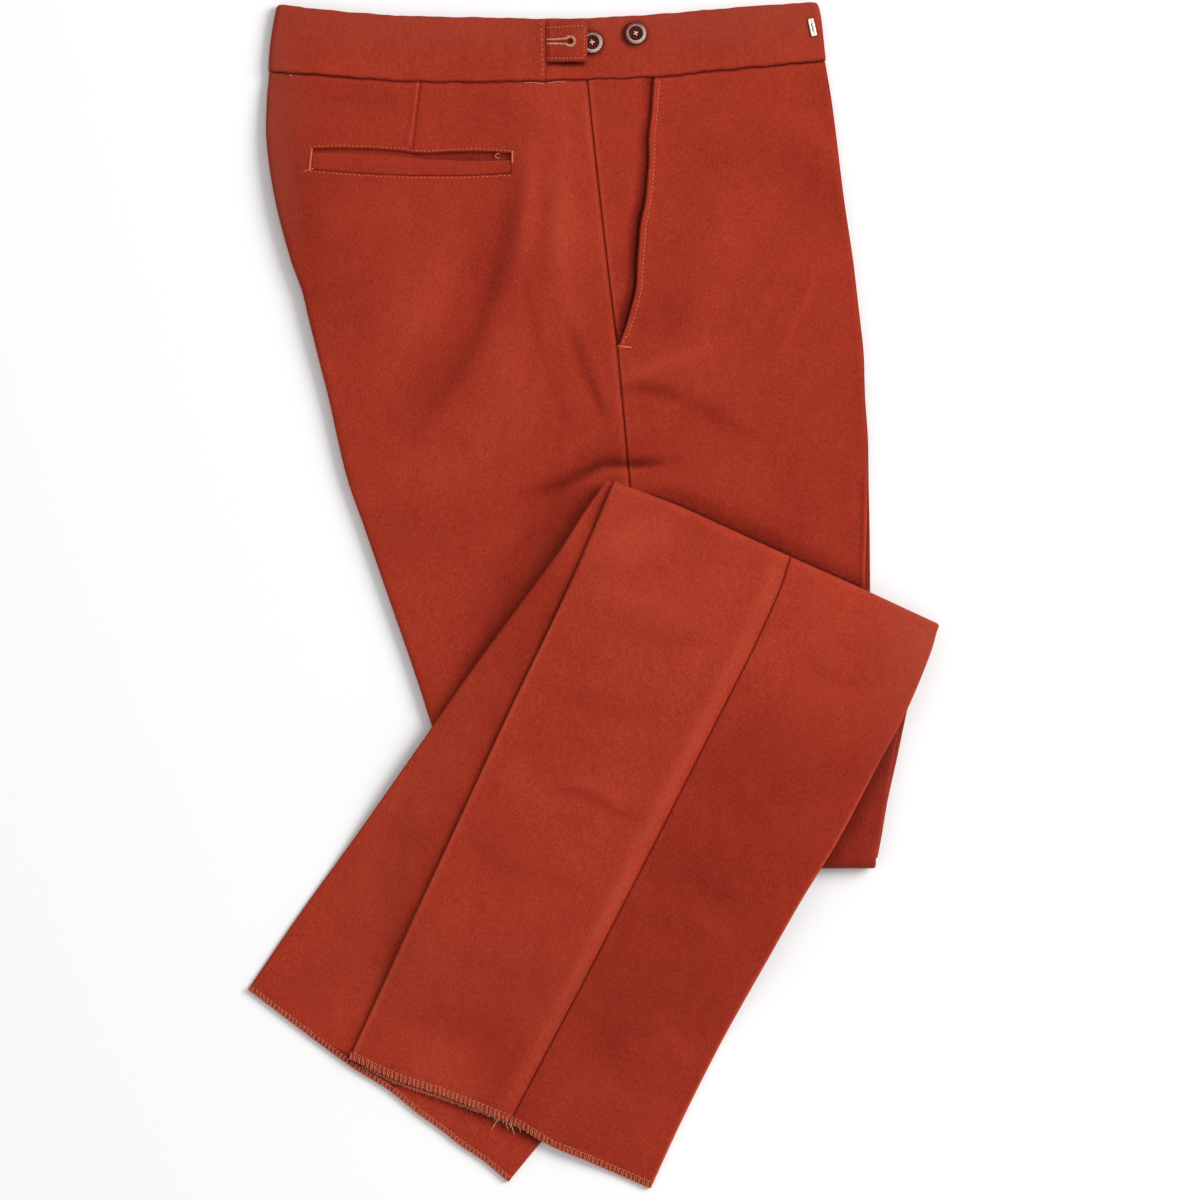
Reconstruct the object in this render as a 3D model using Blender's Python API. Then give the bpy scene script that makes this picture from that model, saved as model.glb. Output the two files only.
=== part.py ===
"""Moleskin trousers lying on their side, with the legs folded in a zigzag.

Run with: blender --background --python part.py

All sizes below are in millimetres and are turned into metres when a mesh is made.
+X points to the front of the trousers, +Y to the waist and +Z up from the surface
that they lie on. From that surface upwards lie: the left half of the body, the right
half, the knees (folded back towards the waist) and the two lower legs (folded down
again and fanned apart). A pressed leg is a flat tube. Each of its panels runs from
the seam that shows, round a crease, to the seam underneath.
"""

import math

import bmesh
import bpy

MM = 0.001

# ---------------------------------------------------------------- cloth and layers
CLOTH = 1.2            # wall of one layer of moleskin
SEAM_GAP = 0.3         # air between two pieces that meet at a seam
BAND_SEAM_GAP = 0.6    # the same along the waistband's curved seam
LAYER_GAP = 0.5        # air between layers that lie on each other
TUBE = 2.9             # a pressed leg: two walls and the air between them
LAYER = TUBE + LAYER_GAP
STUB = 12.0            # how far a hidden layer runs in from a crease
BODY_NOSE = 4.0        # how far the round of a body crease reaches
LEG_NOSE = 2.2         # the same on a pressed leg
CORE_CLEAR = 3.5       # from a panel's face to the solid of hidden layers
CORE_SIDE = 1.5        # from the end of a panel's stub to that solid
CORE_ROUND = 1.6       # how much that solid's long edges are rounded
CORE_SHARES = (0.0, 0.04, 0.25, 0.5, 0.75, 0.96, 1.0)
SHARP_ANGLE = 40.0     # degrees; edges that turn by more are drawn sharp

# ---------------------------------------------------------------- body, waist to knee
FOLD_Y = -185.0        # the fold below the knee, where the body's stretch ends
BODY_END = FOLD_Y + 7.5

# Height up the page, back crease, front crease, the left leg's front crease
# (it peeps out), and the height of both legs together.
BODY_SECTIONS = (
    # y,     back,   front,  left,   high
    (366.0, -220.6, 157.6, 157.6, 7.8),
    (357.0, -220.4, 159.3, 159.3, 7.8),
    (338.0, -222.0, 162.4, 162.4, 9.6),
    (310.0, -222.2, 166.0, 166.0, 11.6),
    (270.0, -216.4, 170.9, 170.9, 12.8),
    (229.0, -205.7, 177.0, 177.0, 12.8),
    (207.0, -197.8, 179.6, 179.6, 12.5),
    (188.0, -193.3, 181.8, 181.8, 12.2),
    (166.0, -187.8, 184.2, 184.3, 11.7),
    (134.0, -179.7, 185.2, 185.5, 11.0),
    (107.0, -173.8, 187.0, 187.4, 10.5),
    (79.0, -166.9, 186.8, 187.8, 10.0),
    (50.0, -156.7, 186.4, 188.4, 9.7),
    (4.0, -140.8, 185.1, 188.8, 9.5),
    (-57.0, -119.7, 186.5, 188.6, 9.5),
    (-110.0, -103.0, 188.0, 189.2, 9.5),
    (-185.0, -80.0, 191.0, 192.0, 9.5),
)
EDGE_FALL = 0.18       # how much lower the body is near its creases

# The rows at which the body's panels have a ring; the pocket's edges and the foot of
# the pocket mouth have one each.
BODY_RINGS = (357.0, 330.0, 305.0, 286.0, 262.0, 235.0, 205.0, 171.0, 140.0, 105.0,
              70.0, 30.0, -15.0, -60.0, -105.0, -145.0, BODY_END)
FACING_RINGS = (357.0, 330.0, 305.0, 286.0, 262.0, 235.0, 205.0, 186.0, 175.0)
RINGS_BEND = 50.0      # the upper rings bend with the waistband's seam over this length

# Side seam and the mouth of the slant pocket: height, and distance along X.
SIDE_SEAM = ((357.0, -4.6), (309.0, 0.3), (226.0, 9.6), (172.0, 16.0), (76.0, 25.0),
             (-185.0, 50.0))
POCKET_MOUTH = ((355.0, 41.2), (323.0, 38.9), (282.0, 36.4), (240.0, 31.0),
                (212.0, 28.6), (191.0, 24.6), (171.0, 17.4))
MOUTH_FOOT = 171.0
MOUTH_TUCK = 12.0      # how far the facing runs in under the front panel
MOUTH_STEP = 1.7       # how far the facing lies below the front panel there,
MOUTH_SLOPE = (6.0, 5.0)   # where it starts to come down, and over what length

# The largest soft folds: both ends, half width and depth (a ridge is negative).
BODY_FOLDS = (
    # x1,     y1,     x2,    y2,    half, deep
    (-62.0, 262.0, -128.0, 110.0, 30.0, 1.3),
    (-40.0, 270.0, 2.0, 205.0, 24.0, -0.9),
    (-12.0, 86.0, -78.0, 0.0, 30.0, 1.5),
    (86.0, 122.0, 150.0, 96.0, 28.0, 0.8),
)

# ---------------------------------------------------------------- waistband
BAND_WALL = 2.4
BAND_HIGH = 8.2
BAND_NOSE = 4.0
BAND_EDGE_DROP = 0.7
BAND_CURL = (90.0, 60.0, 30.0)   # degrees at which the curled back end has points
BAND_INSET = 0.5       # how much further in the inner wall of that curl starts
BAND_BACK_LEAN = 6.0   # the back end leans in by this much from seam to top
BAND_LEAN = 4.0        # the same at the front end,
BAND_ROUND = 2.2       # which also rounds off by this much at its top corner
BAND_BACK = -221.0
BAND_FRONT = 158.4
BAND_STEP = -32.6      # where the back stretch ends and the adjuster tab comes out

# Distance along X, height of the seam and of the top edge.
BAND_SECTIONS = (
    (-221.0, 357.3, 403.8),
    (-178.0, 354.2, 398.9),
    (-131.0, 350.6, 395.3),
    (-77.0, 350.0, 394.1),
    (-20.0, 351.2, 393.2),
    (40.0, 353.2, 396.0),
    (87.0, 358.0, 400.0),
    (120.0, 361.0, 402.6),
    (158.4, 364.9, 404.7),
)
# Share of the band's height, and how far its face lies lower there.
BAND_ROWS = ((0.0, BAND_EDGE_DROP), (0.05, 0.0), (0.95, 0.0), (1.0, BAND_EDGE_DROP))

# ---------------------------------------------------------------- knees
KNEE_BEND = 7.0        # how far the round of the fold below the knee reaches
# Distance up from the fold, back crease, side seam, left and right front crease.
KNEE_SECTIONS = (
    (0.0, -80.0, 66.0, 191.0, 192.0),
    (19.0, -73.0, 68.0, 194.6, 195.8),
    (47.0, -64.0, 71.0, 199.4, 200.6),
    (74.0, -54.0, 74.0, 204.2, 206.6),
    (101.0, -45.0, 77.0, 209.4, 212.3),
    (117.0, -40.0, 79.0, 213.0, 216.2),
    (148.0, -29.0, 84.0, 220.0, 227.5),
    (163.0, -24.0, 86.0, 224.0, 232.5),
    (260.0, 10.0, 100.0, 240.0, 248.0),
)
KNEE_CORE_START = KNEE_BEND + 1.0   # the right leg's hidden stretch starts here
KNEE_CORE_SIDE = 1.0   # how far inside the left leg's back crease it lies
KNEE_CORE_ROUND = 0.87 # how much its long edges are rounded
KNEE_CORE_RINGS = (0.0, 0.15, 0.3, 0.45, 0.6, 0.75, 0.9, 1.0)
KNEE_CORE_SHARES = (0.0, 0.012, 0.25, 0.5, 0.75, 0.988, 1.0)

# ---------------------------------------------------------------- lower legs
RIGHT_BEND = 5.6       # how far the round of the fold above the knee reaches
LEFT_BEND = 2.8        # the same on the left leg, which is folded inside the right
FOLD_STUB = 5.0        # how far a leg runs on under that fold
RIGHT_END_GAP = 1.5    # from there to the hidden stretch behind the knees
LEFT_END_GAP = 2.0
RIGHT_HEM = 430.0      # from that fold to the hem
LEFT_HEM = 425.0

# Distance down from the fold; back crease, seam that shows, front crease.
RIGHT_LEG_SECTIONS = (
    (0.0, 1.8, 131.5, 243.0),
    (20.0, 2.0, 134.0, 245.5),
    (65.0, 2.2, 133.6, 246.0),
    (100.0, 1.6, 131.6, 243.1),
    (160.0, -0.8, 128.0, 238.6),
    (207.0, -2.0, 125.2, 232.0),
    (255.0, -3.0, 122.2, 227.0),
    (318.0, -4.5, 118.4, 221.2),
    (378.0, -5.7, 114.2, 217.8),
    (430.0, -6.8, 110.4, 216.7),
)
LEFT_LEG_SECTIONS = (
    (0.0, -1.2, 140.0, 249.0),
    (26.0, -1.0, 139.0, 248.6),
    (60.0, 1.0, 138.0, 248.0),
    (150.0, 0.6, 135.0, 243.0),
    (230.0, 2.0, 132.0, 238.0),
    (300.0, 3.2, 129.0, 233.0),
    (368.0, 3.6, 126.2, 229.4),
    (425.0, 5.4, 124.2, 226.2),
)
RIGHT_LEG_APEX = (12.0, 77.5)
RIGHT_LEG_LEAN = 23.5  # degrees from straight down, towards the back
LEFT_LEG_APEX = (11.0, 79.0)
LEFT_LEG_LEAN = 36.1
LEFT_LEG_START = 5.0   # the left leg's fold lies inside the right leg's
UNDER_SEAM = 0.55      # share of the width at which the hidden seam lies

# ---------------------------------------------------------------- how the stack settles
REACH_MARGIN = 14.0    # a layer stays level this far beyond what carries it
SIDE_DROP = 100.0      # and comes down over this length beside the thigh,
END_DROP = 110.0       # beyond the fold below the knee,
KNEE_DROP = 60.0       # beside the knees
LEG_DROP = 45.0        # and beside the lower leg
FRONT_DROOP = 0.4      # share of its height that an overhang in front loses
STACK = 16.8           # height of the body and the knees together
BRIDGE = 1.6           # extra air under a leg where what carries it comes down

# ---------------------------------------------------------------- small parts
TAB = {"x1": -32.2, "x2": -3.7, "y1": 363.6, "y2": 390.6, "thick": 1.8, "corner": 4.0,
       "lift": 3.4, "lift_from": -24.0, "lift_to": -10.5, "bevel": 0.3, "slope": 0.8}
BUTTON_RADIUS = 7.95
BUTTON_SIDES = 28
# Radius and height above the button's base, from the middle of its base to its face.
BUTTON_PROFILE = ((0.0, 0.0), (5.6, 0.0), (7.4, 0.7), (BUTTON_RADIUS, 1.6), (7.5, 2.6),
                  (6.5, 3.0), (5.4, 2.7), (4.6, 2.0), (0.0, 1.8))
BUTTONS = {"adjuster_button_back": (-0.7, 376.9), "adjuster_button_front": (29.0, 383.0)}
BAR = {"x": 149.2, "y": 387.1, "long": 12.2, "wide": 3.8, "thick": 1.0, "turn": -12.6,
       "end": 0.3, "bevel": 0.2}
WELT = {"x1": -191.0, "x2": -55.5, "thick": 1.0, "gap": 0.35, "steps": 8}
# Distance along X, lower and upper edge of the hip pocket's welt.
WELT_SECTIONS = (
    (-191.0, 289.6, 304.6),
    (-165.0, 287.2, 304.6),
    (-139.0, 285.6, 303.8),
    (-98.0, 284.9, 302.6),
    (-55.5, 286.8, 302.6),
)

MOLESKIN = (0.347, 0.037, 0.0185)
MOLESKIN_INSIDE = (0.26, 0.029, 0.015)
HORN = (0.052, 0.014, 0.012)
NICKEL = (0.74, 0.73, 0.70)


# ---------------------------------------------------------------- small maths
def read_table(rows, at):
    """The columns of a table at one place, on a smooth curve through its rows."""
    rows = sorted(rows)
    if at <= rows[0][0]:
        return rows[0][1:]
    if at >= rows[-1][0]:
        return rows[-1][1:]
    below = max(i for i in range(len(rows) - 1) if rows[i][0] <= at)
    low, high = rows[below], rows[below + 1]
    before = rows[max(below - 1, 0)]
    after = rows[min(below + 2, len(rows) - 1)]
    span = high[0] - low[0]
    u = (at - low[0]) / span
    columns = []
    for c in range(1, len(low)):
        slope_low = (high[c] - before[c]) / (high[0] - before[0]) * span
        slope_high = (after[c] - low[c]) / (after[0] - low[0]) * span
        columns.append((2 * u**3 - 3 * u**2 + 1) * low[c] + (u**3 - 2 * u**2 + u) * slope_low
                       + (3 * u**2 - 2 * u**3) * high[c] + (u**3 - u**2) * slope_high)
    return tuple(columns)


def mix(a, b, share):
    return a + (b - a) * share


def smooth_step(u):
    u = min(max(u, 0.0), 1.0)
    return u * u * (3 - 2 * u)


def carried(beyond, drop):
    """1 over what carries a layer and just beyond it, then softly down to 0."""
    return 1 - smooth_step((beyond - REACH_MARGIN) / drop)


# ---------------------------------------------------------------- body surface
def body_fold_depth(x, y):
    """How far the soft folds lie below the plain form."""
    depth = 0.0
    for x1, y1, x2, y2, half, deep in BODY_FOLDS:
        length_sq = (x2 - x1) ** 2 + (y2 - y1) ** 2
        along = ((x - x1) * (x2 - x1) + (y - y1) * (y2 - y1)) / length_sq
        near = min(max(along, 0.0), 1.0)
        away_sq = (x - mix(x1, x2, near)) ** 2 + (y - mix(y1, y2, near)) ** 2
        depth += deep * math.exp(-away_sq / half**2)
    return depth


def plain_body_top(x, y):
    back, front, _, high = read_table(BODY_SECTIONS, y)
    across = min(max((x - back) / (front - back), 0.0), 1.0)
    return high * (1 - EDGE_FALL * (2 * across - 1) ** 4)


def body_top(x, y):
    return plain_body_top(x, y) - body_fold_depth(x, y)


def band_seam(x):
    return read_table(BAND_SECTIONS, x)[0]


def ring_height(x, ring_y):
    """The upper rings of the body follow the dip of the waistband's seam."""
    share = max(0.0, 1 - (BODY_RINGS[0] - ring_y) / RINGS_BEND)
    return mix(ring_y, band_seam(x) - BAND_SEAM_GAP, share)


def body_creases(ring_y):
    """Where the back crease and both front creases cross a ring."""
    places = read_table(BODY_SECTIONS, ring_y)[:3]
    return [read_table(BODY_SECTIONS, ring_height(place, ring_y))[column]
            for column, place in enumerate(places)]


# ---------------------------------------------------------------- stretches of leg
class Stretch:
    """A flat stretch of leg: `along` it from its fold, `across` it from its back."""

    def __init__(self, apex, lean, sections, upwards=False):
        lean = math.radians(lean)
        self.apex = apex
        self.down = (-math.sin(lean), -math.cos(lean))
        self.front = (math.cos(lean), -math.sin(lean))
        if upwards:
            self.down = (0.0, 1.0)
            self.front = (1.0, 0.0)
        self.sections = sections

    def to_plan(self, along, across):
        return (self.apex[0] + self.down[0] * along + self.front[0] * across,
                self.apex[1] + self.down[1] * along + self.front[1] * across)

    def from_plan(self, x, y):
        dx, dy = x - self.apex[0], y - self.apex[1]
        return (dx * self.down[0] + dy * self.down[1],
                dx * self.front[0] + dy * self.front[1])

    def edges(self, along):
        return read_table(self.sections, along)


knee = Stretch((0.0, FOLD_Y), 0.0, KNEE_SECTIONS, upwards=True)
right_leg = Stretch(RIGHT_LEG_APEX, RIGHT_LEG_LEAN, RIGHT_LEG_SECTIONS)
left_leg = Stretch(LEFT_LEG_APEX, LEFT_LEG_LEAN, LEFT_LEG_SECTIONS)


def thigh_level(x, y):
    """Where the lowest layer on the thighs lies, and how it comes down beyond them."""
    back, _, front, _ = read_table(BODY_SECTIONS, y)
    beside = carried(back - x, SIDE_DROP)
    before = mix(1 - FRONT_DROOP, 1.0, carried(x - front, KNEE_DROP))
    below = carried(FOLD_Y - y, END_DROP)
    return (plain_body_top(x, y) + LAYER_GAP) * beside * before * below


def over_knee(x, y, front_column):
    along, across = knee.from_plan(x, y)
    edges = knee.edges(along)
    return (carried(edges[0] - across, KNEE_DROP) * carried(across - edges[front_column], KNEE_DROP)
            * carried(-along, END_DROP))


def over_right_knee(x, y):
    return over_knee(x, y, 3)


def over_left_knee(x, y):
    along, _ = left_leg.from_plan(x, y)
    return over_knee(x, y, 2) * carried(LEFT_LEG_START - along, LEG_DROP)


def over_left_leg(x, y):
    along, across = left_leg.from_plan(x, y)
    front = left_leg.edges(along)[2]
    return carried(LEFT_LEG_START - along, LEG_DROP) * carried(across - front, LEG_DROP)


def left_knee_floor(x, y):
    return thigh_level(x, y) + LAYER * over_right_knee(x, y)


def left_knee_top(x, y):
    return left_knee_floor(x, y) + TUBE


def bridge(share):
    """Extra air where a support fades out: most when it is half way down."""
    share = min(max(share, 0.0), 1.0)
    return BRIDGE * 4 * share * (1 - share)


def left_leg_top(x, y):
    knee_share = over_left_knee(x, y)
    return left_knee_floor(x, y) + LAYER * knee_share + bridge(knee_share) + TUBE


def right_leg_top(x, y):
    below = left_leg_top(x, y)
    return below + LAYER * over_left_leg(x, y) + bridge((below - TUBE) / STACK)


# ---------------------------------------------------------------- rings and lofts
def panel_profile(seam, crease, under, nose, top_steps, nose_steps, under_steps):
    """One panel's section: from the seam that shows, round its crease, to the seam under.

    Each point is (across, share of the tube's thickness, wall offset).
    """
    side = 1.0 if crease > seam else -1.0
    start = seam + side * SEAM_GAP / 2
    turn = crease - side * nose
    outer = [(mix(start, turn, i / top_steps), 0.0, 0.0) for i in range(top_steps)]
    inner = [(across, 0.0, CLOTH) for across, _, _ in outer]
    for i in range(nose_steps + 1):
        angle = math.pi / 2 - math.pi * i / nose_steps
        rise = math.sin(angle)
        bulge = math.cos(angle)
        outer.append((turn + side * nose * bulge, (1 - rise) / 2, 0.0))
        inner.append((turn + side * (nose - CLOTH) * bulge, (1 - rise) / 2, CLOTH * rise))
    for i in range(1, under_steps + 1):
        across = mix(turn, under, i / under_steps)
        outer.append((across, 1.0, 0.0))
        inner.append((across, 1.0, -CLOTH))
    return outer + inner[::-1]


def add_points(shape, ring):
    return [shape.verts.new([value * MM for value in point]) for point in ring]


def add_part(name, shape):
    """An object from a finished shape, with its faces turned outwards."""
    bmesh.ops.recalc_face_normals(shape, faces=shape.faces)
    mesh = bpy.data.meshes.new(name)
    shape.to_mesh(mesh)
    shape.free()
    mesh.shade_smooth()
    mesh.set_sharp_from_angle(angle=math.radians(SHARP_ANGLE))
    part = bpy.data.objects.new(name, mesh)
    bpy.context.collection.objects.link(part)
    return part


def loft(name, rings, wall_caps=True):
    """A closed solid through rings of equal length, closed at both ends.

    With wall caps, the second half of a ring runs back beside the first half.
    """
    shape = bmesh.new()
    loops = [add_points(shape, ring) for ring in rings]
    count = len(loops[0])
    for first, second in zip(loops, loops[1:]):
        for i in range(count):
            j = (i + 1) % count
            shape.faces.new((first[i], first[j], second[j], second[i]))
    for loop in (loops[0], loops[-1]):
        if wall_caps:
            for i in range(count // 2 - 1):
                shape.faces.new((loop[i], loop[i + 1], loop[-2 - i], loop[-1 - i]))
        else:
            shape.faces.new(loop)
    return add_part(name, shape)


def material(name, colour, roughness, metallic=0.0):
    shader = bpy.data.materials.get(name)
    if shader is None:
        shader = bpy.data.materials.new(name)
        shader.use_nodes = True
        surface = shader.node_tree.nodes["Principled BSDF"]
        surface.inputs["Base Color"].default_value = (*colour, 1.0)
        surface.inputs["Roughness"].default_value = roughness
        surface.inputs["Metallic"].default_value = metallic
    return shader


def finish(part, shader):
    part.data.materials.append(shader)
    return part


def moleskin():
    return material("moleskin", MOLESKIN, 0.9)


def inner_moleskin():
    return material("moleskin_inside", MOLESKIN_INSIDE, 0.95)


# ---------------------------------------------------------------- body pieces
def body_panel(name, is_right, is_front):
    """One panel of the body's stretch, with the round of its crease."""
    rings = []
    for ring_y in BODY_RINGS:
        back, front, left_front = body_creases(ring_y)
        seam = read_table(SIDE_SEAM, ring_y)[0]
        if not is_front:
            crease = back
        else:
            crease = front if is_right else left_front
            if is_right and ring_y > MOUTH_FOOT:
                seam = read_table(POCKET_MOUTH, ring_y)[0]
        side = 1 if is_front else -1
        top_steps = 6 if is_right else 5
        profile = panel_profile(seam, crease, crease - side * STUB, BODY_NOSE, top_steps, 4, 1)
        ring = []
        for across, share, wall in profile:
            y = ring_height(across, ring_y)
            high = body_top(across, y)
            depth = share * (high / 2 - SEAM_GAP / 2) + wall
            ring.append((across, y, high - depth if is_right else depth))
        rings.append(ring)
    return finish(loft(name, rings), moleskin())


def side_pocket_facing():
    """The cloth behind the slant pocket, from the side seam to under the mouth."""
    rings = []
    steps = 6
    slope_start, slope_long = MOUTH_SLOPE
    for ring_y in FACING_RINGS:
        seam = read_table(SIDE_SEAM, ring_y)[0] + SEAM_GAP / 2
        mouth = read_table(POCKET_MOUTH, ring_y)[0]
        outer = []
        for i in range(steps + 1):
            across = mix(seam, mouth - 1.0, i / (steps - 1)) if i < steps else mouth + MOUTH_TUCK
            y = ring_height(across, ring_y)
            step = MOUTH_STEP * smooth_step((across - mouth + slope_start) / slope_long)
            outer.append((across, y, body_top(across, y) - step))
        inner = [(x, y, z - CLOTH) for x, y, z in outer]
        rings.append(outer + inner[::-1])
    return finish(loft("side_pocket_facing", rings), moleskin())


def body_inner_layers():
    """The hidden layers between the two halves of the body, as one rounded solid."""
    rings = []
    for ring_y in BODY_RINGS:
        back, front, _ = body_creases(ring_y)
        left, right = back + STUB + CORE_SIDE, front - STUB - CORE_SIDE
        top, bottom = [], []
        for share in CORE_SHARES:
            across = mix(left, right, share)
            y = ring_height(across, ring_y) - (CORE_CLEAR if ring_y == BODY_RINGS[0] else 0.0)
            inset = CORE_ROUND if share in (0.0, 1.0) else 0.0
            high = body_top(across, y) - CORE_CLEAR
            low = CLOTH + SEAM_GAP
            inset = min(inset, (high - low) / 3)
            top.append((across, y, high - inset))
            bottom.append((across, y, low + inset))
        rings.append(top + bottom[::-1])
    return finish(loft("body_inner_layers", rings), inner_moleskin())


def hip_pocket_welt():
    """The welt of the hip pocket, moved out from the back panel that it lies on."""
    rings = []
    for i in range(WELT["steps"] + 1):
        x = mix(WELT["x1"], WELT["x2"], i / WELT["steps"])
        low, high = read_table(WELT_SECTIONS, x)
        outer = [(x, y, body_top(x, y) + WELT["gap"] + WELT["thick"]) for y in (low, high)]
        inner = [(x, y, z - WELT["thick"]) for x, y, z in outer]
        rings.append(outer + inner[::-1])
    return finish(loft("hip_pocket_welt", rings), moleskin())


# ---------------------------------------------------------------- folded legs
def fold_point(stretch, along, across, depth, turn, reach, top, floor):
    """A point of a leg at a depth below its face, also round the fold at its start."""
    x, y = stretch.to_plan(along, across)
    high, low = top(x, y), floor(x, y)
    radius = (high - low) / 2
    if turn <= 0:
        return x, y, high - depth
    if turn >= 180:
        return x, y, low + depth
    angle = math.radians(turn)
    x, y = stretch.to_plan(along - reach * (radius - depth) / radius * math.sin(angle), across)
    return x, y, high - radius + (radius - depth) * math.cos(angle)


def leg_panel(name, stretch, stations, is_front, reach, top, floor):
    """One panel of a pressed leg that runs flat and then turns round its fold."""
    rings = []
    for along, turn in stations:
        back, seam, front = stretch.edges(along)
        side = 1 if is_front else -1
        crease = front if is_front else back
        under = mix(back, front, UNDER_SEAM) + side * SEAM_GAP / 2
        profile = panel_profile(seam, crease, under, LEG_NOSE, 4, 3, 4)
        rings.append([fold_point(stretch, along, across, share * TUBE + wall, turn,
                                 reach, top, floor)
                      for across, share, wall in profile])
    return finish(loft(name, rings), moleskin())


def leg_stations(hem, start):
    """Places from the hem up to the fold, closer together where the stack comes down."""
    places = (395, 368, 344, 322, 300, 278, 256, 234, 212, 190, 168, 144, 118, 90, 60, 32)
    flat = [(hem, 0.0)] + [(float(along), 0.0) for along in places]
    round_fold = [(start, turn) for turn in (0.0, 36.0, 72.0, 108.0, 144.0, 180.0)]
    return flat + round_fold + [(start + FOLD_STUB, 180.0)]


def lower_legs():
    right = leg_stations(RIGHT_HEM, RIGHT_BEND)
    left = leg_stations(LEFT_HEM, LEFT_LEG_START + LEFT_BEND)
    for panel, is_front in (("back", False), ("front", True)):
        leg_panel(f"right_{panel}_lower", right_leg, right, is_front, RIGHT_BEND,
                  right_leg_top, thigh_level)
        leg_panel(f"left_{panel}_lower", left_leg, left, is_front, LEFT_BEND,
                  left_leg_top, left_knee_floor)


def stretch_end(leg, start, across):
    """How far up from the fold below the knee a stretch runs, to where its leg turns."""
    x, y = leg.to_plan(start, 0.0)
    slope = leg.front[1] / leg.front[0]
    return y + slope * (across - x) - FOLD_Y


def left_knee_end(across):
    return stretch_end(left_leg, LEFT_LEG_START + LEFT_BEND + FOLD_STUB + LEFT_END_GAP, across)


def right_knee_end(across):
    return stretch_end(right_leg, RIGHT_BEND + FOLD_STUB + RIGHT_END_GAP, across)


def knee_line(column, share):
    """Where a seam or crease of the knee crosses a ring, which lies aslant."""
    across = knee.edges(KNEE_BEND)[column]
    for _ in range(6):
        along = mix(KNEE_BEND, left_knee_end(across), share)
        across = knee.edges(along)[column]
    return across


def ground(_x, _y):
    return 0.0


def left_knee_panels():
    """The left leg's outer layer, from under its own lower leg down round the fold."""
    for name, is_front in (("left_back_knee", False), ("left_front_knee", True)):
        rings = []
        column = 2 if is_front else 0
        side = 1 if is_front else -1
        flats = (1.0, 0.85, 0.7, 0.55, 0.4, 0.25, 0.1)
        stations = [(share, 0.0) for share in flats]
        stations += [(0.0, turn) for turn in (0.0, 30.0, 60.0, 90.0, 120.0, 150.0, 180.0)]
        for share, turn in stations:
            ring = []
            seam = knee_line(1, share)
            crease = knee_line(column, share)
            profile = panel_profile(seam, crease, crease - side * STUB, LEG_NOSE, 5, 3, 1)
            for across, part, wall in profile:
                along = mix(KNEE_BEND, left_knee_end(across), share)
                ring.append(fold_point(knee, along, across, part * TUBE + wall, turn,
                                       KNEE_BEND, left_knee_top, ground))
            rings.append(ring)
        finish(loft(name, rings), moleskin())


def knee_inner_layers():
    """The right leg's hidden stretch behind the knees, with its rounded creases."""
    rings = []
    for share in KNEE_CORE_RINGS:
        top, bottom = [], []
        for edge in KNEE_CORE_SHARES:
            along = KNEE_CORE_START
            for _ in range(6):
                edges = knee.edges(along)
                across = mix(edges[0] + KNEE_CORE_SIDE, edges[3], edge)
                along = mix(KNEE_CORE_START, right_knee_end(across), share)
            x, y = knee.to_plan(along, across)
            inset = KNEE_CORE_ROUND if edge in (0.0, 1.0) else 0.0
            floor = thigh_level(x, y)
            top.append((x, y, floor + TUBE - inset))
            bottom.append((x, y, floor + inset))
        rings.append(top + bottom[::-1])
    return finish(loft("knee_inner_layers", rings), inner_moleskin())


# ---------------------------------------------------------------- waistband
def band_piece(name, x_from, x_to, is_right, round_back):
    """A stretch of waistband, lofted up from its seam; the back end may curl inwards."""
    rings = []
    steps = 7
    middle = BAND_HIGH / 2 - SEAM_GAP / 2
    for share, drop in BAND_ROWS:
        start, end = x_from, x_to
        if x_to == BAND_FRONT:
            end -= BAND_LEAN * share + BAND_ROUND * share**8
        outer, inner = [], []
        if round_back:
            start += BAND_BACK_LEAN * share**1.8
            for angle in BAND_CURL:
                rise, bulge = math.cos(math.radians(angle)), math.sin(math.radians(angle))
                outer.append((start + BAND_NOSE * (1 - bulge), middle * (1 - rise)))
                inner.append((start + BAND_NOSE + BAND_INSET * rise,
                              middle - (middle - BAND_WALL) * rise))
            start += BAND_NOSE
        for i in range(steps + 1):
            across = mix(start, end, i / steps)
            outer.append((across, 0.0))
            inner.append((across + (BAND_INSET if round_back and i == 0 else 0.0), BAND_WALL))
        ring = []
        for group, is_outer in ((outer, True), (inner[::-1], False)):
            for across, depth in group:
                low, high = read_table(BAND_SECTIONS, across)
                depth += drop * (1 - depth / middle) if is_outer else 0.0
                y = mix(low, high, share)
                ring.append((across, y, BAND_HIGH - depth if is_right else depth))
        rings.append(ring)
    return finish(loft(name, rings), moleskin())


def waistband():
    band_piece("waistband_right_back", BAND_BACK, BAND_STEP - SEAM_GAP, True, True)
    band_piece("waistband_right_front", BAND_STEP, BAND_FRONT, True, False)
    band_piece("waistband_left", BAND_BACK, BAND_FRONT, False, True)


# ---------------------------------------------------------------- tab, buttons, bar
def tab_lift(x):
    span = TAB["lift_to"] - TAB["lift_from"]
    return TAB["lift"] * smooth_step((x - TAB["lift_from"]) / span)


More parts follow.
